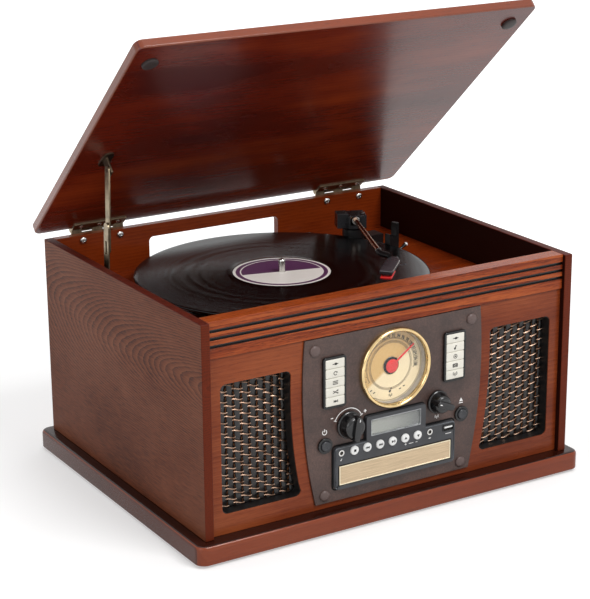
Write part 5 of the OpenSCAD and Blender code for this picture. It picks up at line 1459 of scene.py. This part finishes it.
@dataclass
class Tonearm:
    """The arm, its gimbal, head, cartridge, rest and cue lever."""

    shop: Workshop
    pivot: tuple[float, float] = (124.53, 98.92)
    height: float = 222.0
    angle: float = -22.0
    length: float = 144.0
    tube: float = 2.7

    def arm(self) -> Place:
        """The arm's frame: the pivot at its origin and the arm along minus V."""
        return Place.top(*self.pivot, self.height).turned(self.angle)

    def head(self) -> Place:
        """The head's frame, at its upper rear left corner, dipping towards its front."""
        return self.arm().moved(5.5, -(self.length + 10.5)).turned(-28.0).turned(10.0, Axis.X)

    def build(self) -> None:
        """Makes the arm from the rest forwards."""
        shop, arm, head = self.shop, self.arm(), self.head()
        shop.ease("tonearm_base", "arm_base", SATIN_BLACK, "black_plastic", 0.6)
        shop.ease("tonearm_gimbal", "arm_gimbal", ARM_BLACK, "black_plastic", 0.9, 3, body="arm_carrier")
        ribs = [block((1.1, 15.0, 0.9), 0.4, arm.moved(u, 0.5, 5.6)) for u in (-17.4, -15.2, -13.0, -10.8, -8.6)]
        shop.make("gimbal_ribs", ribs, ARM_BLACK, "black_plastic", body="arm_carrier")
        screw = lathe([(0, 0), (2.6, 0), (2.6, 0.5), (2.2, 0.9), (1.0, 1.1), (0, 1.1)], arm.moved(10.2, 0, 4.4), 32)
        shop.make("gimbal_screw", [screw], STEEL, "steel", body="arm_carrier")
        bend = np.array([[0, -self.length, 0], [1.2, -self.length - 2.6, 0], [3.6, -self.length - 6.2, 0],
                         [7.0, -self.length - 11.5, 0]])
        path = np.stack([np.zeros(12), np.linspace(0, -self.length + 9, 12), np.zeros(12)], -1)
        axle = pipe(np.array([[-7.6, 0, 0], [-2, 0, 0], [2, 0, 0], [8, 0, 0]], float), 1.5, arm)
        hub = lathe([(0, -4.6), (3.2, -4.6), (3.4, -4.2), (3.4, 4.2), (3.2, 4.6), (0, 4.6)], arm.turned(90, Axis.Y),
                    40)
        tube = pipe(path, self.tube, arm, 28)
        shop.make("arm_tube", [tube, axle, hub], TUBE, "silver", "tonearm", body="tonearm")
        elbow = np.concatenate([[[0, -self.length + 9, 0], [0, -self.length + 4, 0]], bend])
        collar = pipe(elbow, np.array([2.95, 3.05, 3.1, 3.1, 3.1, 3.0]), arm, 24)
        shop.make("arm_elbow", [collar], SATIN_BLACK, "black_plastic", body="tonearm")
        ring = [(2.6, -0.6), (3.25, -0.6), (3.4, 0), (3.25, 0.6), (2.6, 0.6), (2.6, -0.6)]
        rings = [lathe(ring, arm.moved(0, -self.length + 9).turned(90, Axis.X), 32),
                 lathe([(2.6, -1.3), (4.0, -1.3), (4.3, -1.0), (4.3, 1.0), (4.0, 1.3), (2.6, 1.3), (2.6, -1.3)],
                       arm.moved(0, -14.5).turned(90, Axis.X), 40)]
        shop.make("arm_rings", rings, SILVER, "silver", body="tonearm")
        outline = np.array([[4.4, 0.6], [2.2, -2.2], [0.2, -6], [0.0, -12], [0.4, -33], [1.2, -34], [13.3, -34],
                            [14.1, -33], [14.5, -12], [14.3, -6], [12.3, -2.2], [10.1, 0.6]])
        shell = slab(outline, [(1.1, -4.0), (0.2, -3.6), (0, -3.0), (0, -1.0), (0.45, -0.35), (1.3, 0.0)], head)
        lift = pipe(np.array([[13.5, -13.8, -2.0], [17.5, -13.8, -2.0], [20.5, -13.7, -1.6], [22.4, -13.5, -0.6]],
                             float), 0.9, head, 12, flat=0.6)
        shop.make("head_shell", [shell, lift], SHELL_GREY, "black_plastic", sharp=30, body="tonearm")
        # A silver line along the head's right edge: a painted highlight.
        edge = pipe(np.array([[14.2, -7, -0.9], [14.5, -14, -0.9], [14.4, -24, -0.9], [14.0, -32.5, -0.9]], float),
                    0.7, head, 8)
        shop.make("head_edge", [edge], SILVER, "silver", body="tonearm")
        body = block((10.1, 19.0, 3.2), 1.0, head.moved(7.25, -21.5, -7.05), 0.4)
        shop.make("cartridge_body", [body], GLOSS_BLACK, "black_plastic", body="tonearm")
        nose = np.array([[1.5, -34.6], [7.25, -35.2], [13.0, -34.6], [13.2, -30], [12.6, -17.5], [1.9, -17.5],
                         [1.3, -30]])
        stylus = slab(nose, [(0.8, -9.4), (0.15, -9.0), (0, -8.2), (0, -7.4), (0.5, -6.9)], head)
        tip = lathe([(0, -0.1), (0.25, 0), (0.7, 2.2), (0, 2.3)], self.needle(), 16)
        shop.make("stylus_holder", [stylus, tip], RED, "red_plastic", "cartridge", body="tonearm")
        self.build_cue()
        cross = lathe([(0, 175), (2.5, 175), (2.5, 193.5), (5.6, 193.5), (6, 194), (6, 196.2), (5.4, 197.3),
                       (4.2, 197.9), (1.2, 198), (1.2, 196.8), (0, 196.8)], Place.top(97, 145, 0), 40)
        shop.make("locking_screw", [cross], SILVER, "silver", "transit_screw")

    def needle(self) -> Place:
        """Where the stylus stands, half a millimetre over the record."""
        at = self.head().moved(7.25, -29.0, -9.0).origin
        return Place.top(float(at[0]), float(at[1]), 205.8)

    def build_cue(self) -> None:
        """The cue lever: a hub on its axle and a black handle with a white tip."""
        place = Place.top(*self.pivot, 195.5).turned(10.0).moved(2, -63.0)
        hub = lathe([(0, 0.3), (3.1, 0.3), (3.4, 0.6), (3.4, 3.7), (3.1, 4.0), (0, 4.0)], place.turned(90, Axis.X),
                    32)
        axle = lathe([(0, -6), (1.5, -6), (1.5, 4), (0, 4)], place.turned(90, Axis.X), 24)
        rod = place.moved(0, -2.2).turned(66, Axis.Y)
        handle = lathe([(0, 0), (1.4, 0), (1.4, 11), (1.9, 12), (2.2, 15.2), (0, 15.2)], rod, 24)
        self.shop.make("cue_handle", [hub, axle, handle], GLOSS_BLACK, "black_plastic", "cue_lever", body="cue_lever")
        tip = lathe([(0, 15.2), (2.2, 15.2), (2.2, 16.6), (1.7, 17.2), (0, 17.3)], rod, 24)
        self.shop.make("cue_tip", [tip], WHITE, "white_plastic", body="cue_lever")


@dataclass
class Lid:
    """The lid, its bumpers, hinges and the folding stay."""

    shop: Workshop
    hinge: tuple[float, float] = (172.0, 236.0)
    opened: float = 42.0
    under: float = 235.0

    def on(self, x: float, y: float, z: float) -> Place:
        """A frame on the open lid, at a point given with the lid closed."""
        c, s = math.cos(math.radians(self.opened)), math.sin(math.radians(self.opened))
        axes = np.array([[1, 0, 0], [0, c, -s], [0, s, c]])
        return Place(np.array([0.0, *self.hinge]), axes).moved(x, y - self.hinge[0], z - self.hinge[1])

    @staticmethod
    def bolt(place: Place, r: float) -> Surface:
        """A screw's round head with a sunk middle."""
        return lathe([(0, -0.3), (r, -0.3), (r, 0.25), (0.8 * r, 0.75), (0.45 * r, 0.95), (0.35 * r, 0.6),
                      (0, 0.55)], place, 28)

    def build(self) -> None:
        """Hangs the lid and its metalwork."""
        shop = self.shop
        shop.ease("lid", "lid_board", LID_WOOD, "lid_wood", 1.6, 4, body="lid")
        bumpers = [lathe([(0, 2.8), (7.6, 2.8), (8, 2.5), (8, 0.7), (7.3, 0.1), (4, -0.15), (0, -0.2)],
                         self.on(s * 202.0, -148.4, 232.3), 48) for s in (-1, 1)]
        shop.make("lid_pads", bumpers, BUMPER, "rubber", "lid_bumpers", body="lid")
        shop.ease("hinge_lid_leaves", "hinge_upper_leaves", OLD_BRASS, "antique_brass", 0.25, body="lid")
        shop.ease("hinge_case_leaves", "hinge_lower_leaves", OLD_BRASS, "antique_brass", 0.25)
        heads = [self.bolt(self.on(s * (150 + d), 163.6, 233.5).turned(180, Axis.X), 2.6) for s in (-1, 1)
                 for d in (-21, 0, 21)]
        shop.make("hinge_upper_screws", heads, SILVER, "silver", body="lid")
        heads = [self.bolt(Place.front(s * 150 + d, 226.5, 158.5), 3.4) for s in (-1, 1) for d in (-21.3, 21.3)]
        heads += [self.bolt(Place.front(s * 150 + d, 222.5, 170.4).turned(180, Axis.Y), 2.7) for s in (-1, 1)
                  for d in (-21, 0, 21)]
        shop.make("hinge_lower_screws", heads, SILVER, "silver")
        shop.ease("stay_lid_bracket", "stay_upper_bracket", DARK_BRASS, "steel", 0.3, body="lid")
        shop.ease("stay_upper_arm", "stay_long_arm", OLD_BRASS, "antique_brass", 0.2, body="stay_upper_arm")
        shop.ease("stay_lower_arm", "stay_slotted_arm", OLD_BRASS, "antique_brass", 0.2, body="stay_lower_arm")
        shop.ease("stay_case_bracket", "stay_lower_bracket", DARK_BRASS, "steel", 0.3)


@dataclass
class Works:
    """What is inside and behind the case."""

    shop: Workshop

    def build(self) -> None:
        """Dresses the parts that mostly stay out of sight."""
        self.shop.dress(BOARD, "circuit_boards")
        self.shop.dress(STEEL, "cd_mechanism")
        self.shop.ease("rear_socket_panel", "rear_sockets", SATIN_BLACK, "black_plastic", 0.25)


@dataclass
class Studio:
    """A pale floor, soft lamps, a white background and the photograph's camera."""

    position: Triple = (-0.945101, -1.538797, 0.746493)
    yaw: float = -31.265
    pitch: float = -17.552
    roll: float = -0.408
    focal: float = 1848.909
    frame_height: float = 599.0
    lamps: tuple[tuple[str, Triple, float, float], ...] = (
        ("key", (0.6, -2.0, 2.5), 1.2, 56.0),
        ("fill", (-2.3, -0.9, 1.3), 1.2, 11.0),
        ("top", (0.1, 0.3, 2.6), 1.4, 20.0))
    ambient: float = 0.42
    near: tuple[float, float] = (0.5, 0.42)
    far: tuple[float, float] = (1.4, 1.0)

    def camera(self) -> None:
        """A camera turned by yaw about the vertical, pitch above the level, and roll about its line of sight."""
        yaw, pitch, roll = (math.radians(a) for a in (self.yaw, self.pitch, self.roll))
        f = np.array([-math.sin(yaw) * math.cos(pitch), math.cos(yaw) * math.cos(pitch), math.sin(pitch)])
        r = np.cross(f, [0, 0, 1.0])
        r /= np.linalg.norm(r)
        u = np.cross(r, f)
        right, up = r * math.cos(roll) + u * math.sin(roll), u * math.cos(roll) - r * math.sin(roll)
        data = bpy.data.cameras.new("camera")
        data.sensor_width, data.lens = 36.0, self.focal * 36.0 / self.frame_height
        data.clip_start, data.clip_end = 0.05, 50.0
        holder = linked("camera", data)
        turn = Matrix([[right[i], up[i], -f[i]] for i in range(3)]).to_4x4()
        holder.matrix_world = Matrix.Translation(self.position) @ turn
        bpy.context.scene.camera = holder

    def lamp(self, name: str, at: Triple, size: float, power: float, to: Triple = (0, 0, 0.15)) -> None:
        """A square soft lamp that looks at a point.

        Args:
            name: Its name.
            at: Where it hangs, in metres.
            size: The length of its side, in metres.
            power: Its power in watts.
            to: The point that it looks at.
        """
        data = bpy.data.lights.new(name, "AREA")
        data.size, data.energy = size, power
        holder = linked(name, data)
        holder.rotation_euler = (Vector(to) - Vector(at)).to_track_quat("-Z", "Y").to_euler()
        holder.location = at

    def world(self) -> None:
        """Pale light all round, and plain white for the camera and for reflections."""
        world = bpy.data.worlds.new("studio")
        bpy.context.scene.world = world
        world.use_nodes = True
        tree = world.node_tree
        tree.nodes.clear()
        add, join = tree.nodes.new, tree.links.new
        path, mixed, out = add("ShaderNodeLightPath"), add("ShaderNodeMixShader"), add("ShaderNodeOutputWorld")
        share = path.outputs["Is Camera Ray"]
        for ray in ("Is Glossy Ray", "Is Transmission Ray"):
            either = add("ShaderNodeMath")
            either.operation = "MAXIMUM"
            join(share, either.inputs[0])
            join(path.outputs[ray], either.inputs[1])
            share = either.outputs[0]
        join(share, mixed.inputs[0])
        for socket, strength in ((1, self.ambient), (2, 1.0)):
            pale = add("ShaderNodeBackground")
            pale.inputs[0].default_value, pale.inputs[1].default_value = (1, 1, 1, 1), strength
            join(pale.outputs[0], mixed.inputs[socket])
        join(mixed.outputs[0], out.inputs[0])

    def floor(self) -> None:
        """A wide pale floor; what the camera sees of it is lifted to white, and keeps the shadow."""
        rows = np.array([[[-6000, -6000, 0], [6000, -6000, 0]], [[-6000, 9000, 0], [6000, 9000, 0]]], float)
        made = mesh_object("floor", [grid(rows, closed=False)])
        g = Graph("floor")
        cloud = g.noise(g.coords(), 3.0, 2.0)
        g.done(Base_Color=g.mix(cloud, (206, 206, 206), (212, 212, 212)), Roughness=0.7, Specular_IOR_Level=0.1)
        path = g.node("LightPath", {})
        seen = path.outputs["Is Camera Ray"]
        for ray in ("Is Glossy Ray", "Is Transmission Ray"):
            seen = g.calc("MAXIMUM", seen, path.outputs[ray])
        glow = g.calc("MULTIPLY", seen, g.fit(g.length(g.coords()), self.near[0], self.far[0], self.near[1],
                                              self.far[1]))
        light = g.node("Emission", {0: (1, 1, 1, 1), 1: glow}).outputs[0]
        both = g.node("AddShader", {0: g.shader.outputs[0], 1: light}).outputs[0]
        g.tree.links.new(both, g.output.inputs[0])
        made.data.materials.append(g.material)

    def build(self) -> None:
        """Sets the studio up."""
        bpy.context.scene.view_settings.view_transform = "Standard"
        self.camera()
        for name, at, size, power in self.lamps:
            self.lamp(name, at, size, power)
        self.world()
        self.floor()


def main() -> None:
    """Builds the studio and every sub-assembly in order."""
    logging.basicConfig(level=logging.INFO, format="%(message)s")
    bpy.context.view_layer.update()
    Studio().build()
    shop = Workshop()
    for part in (Cabinet, SpeakerCloths, FrontPlate, Dial, ControlPanel, Turntable, Tonearm, Lid, Works):
        part(shop).build()
    log.info("%d new pieces", shop.count)


if __name__ == "__main__":
    main()
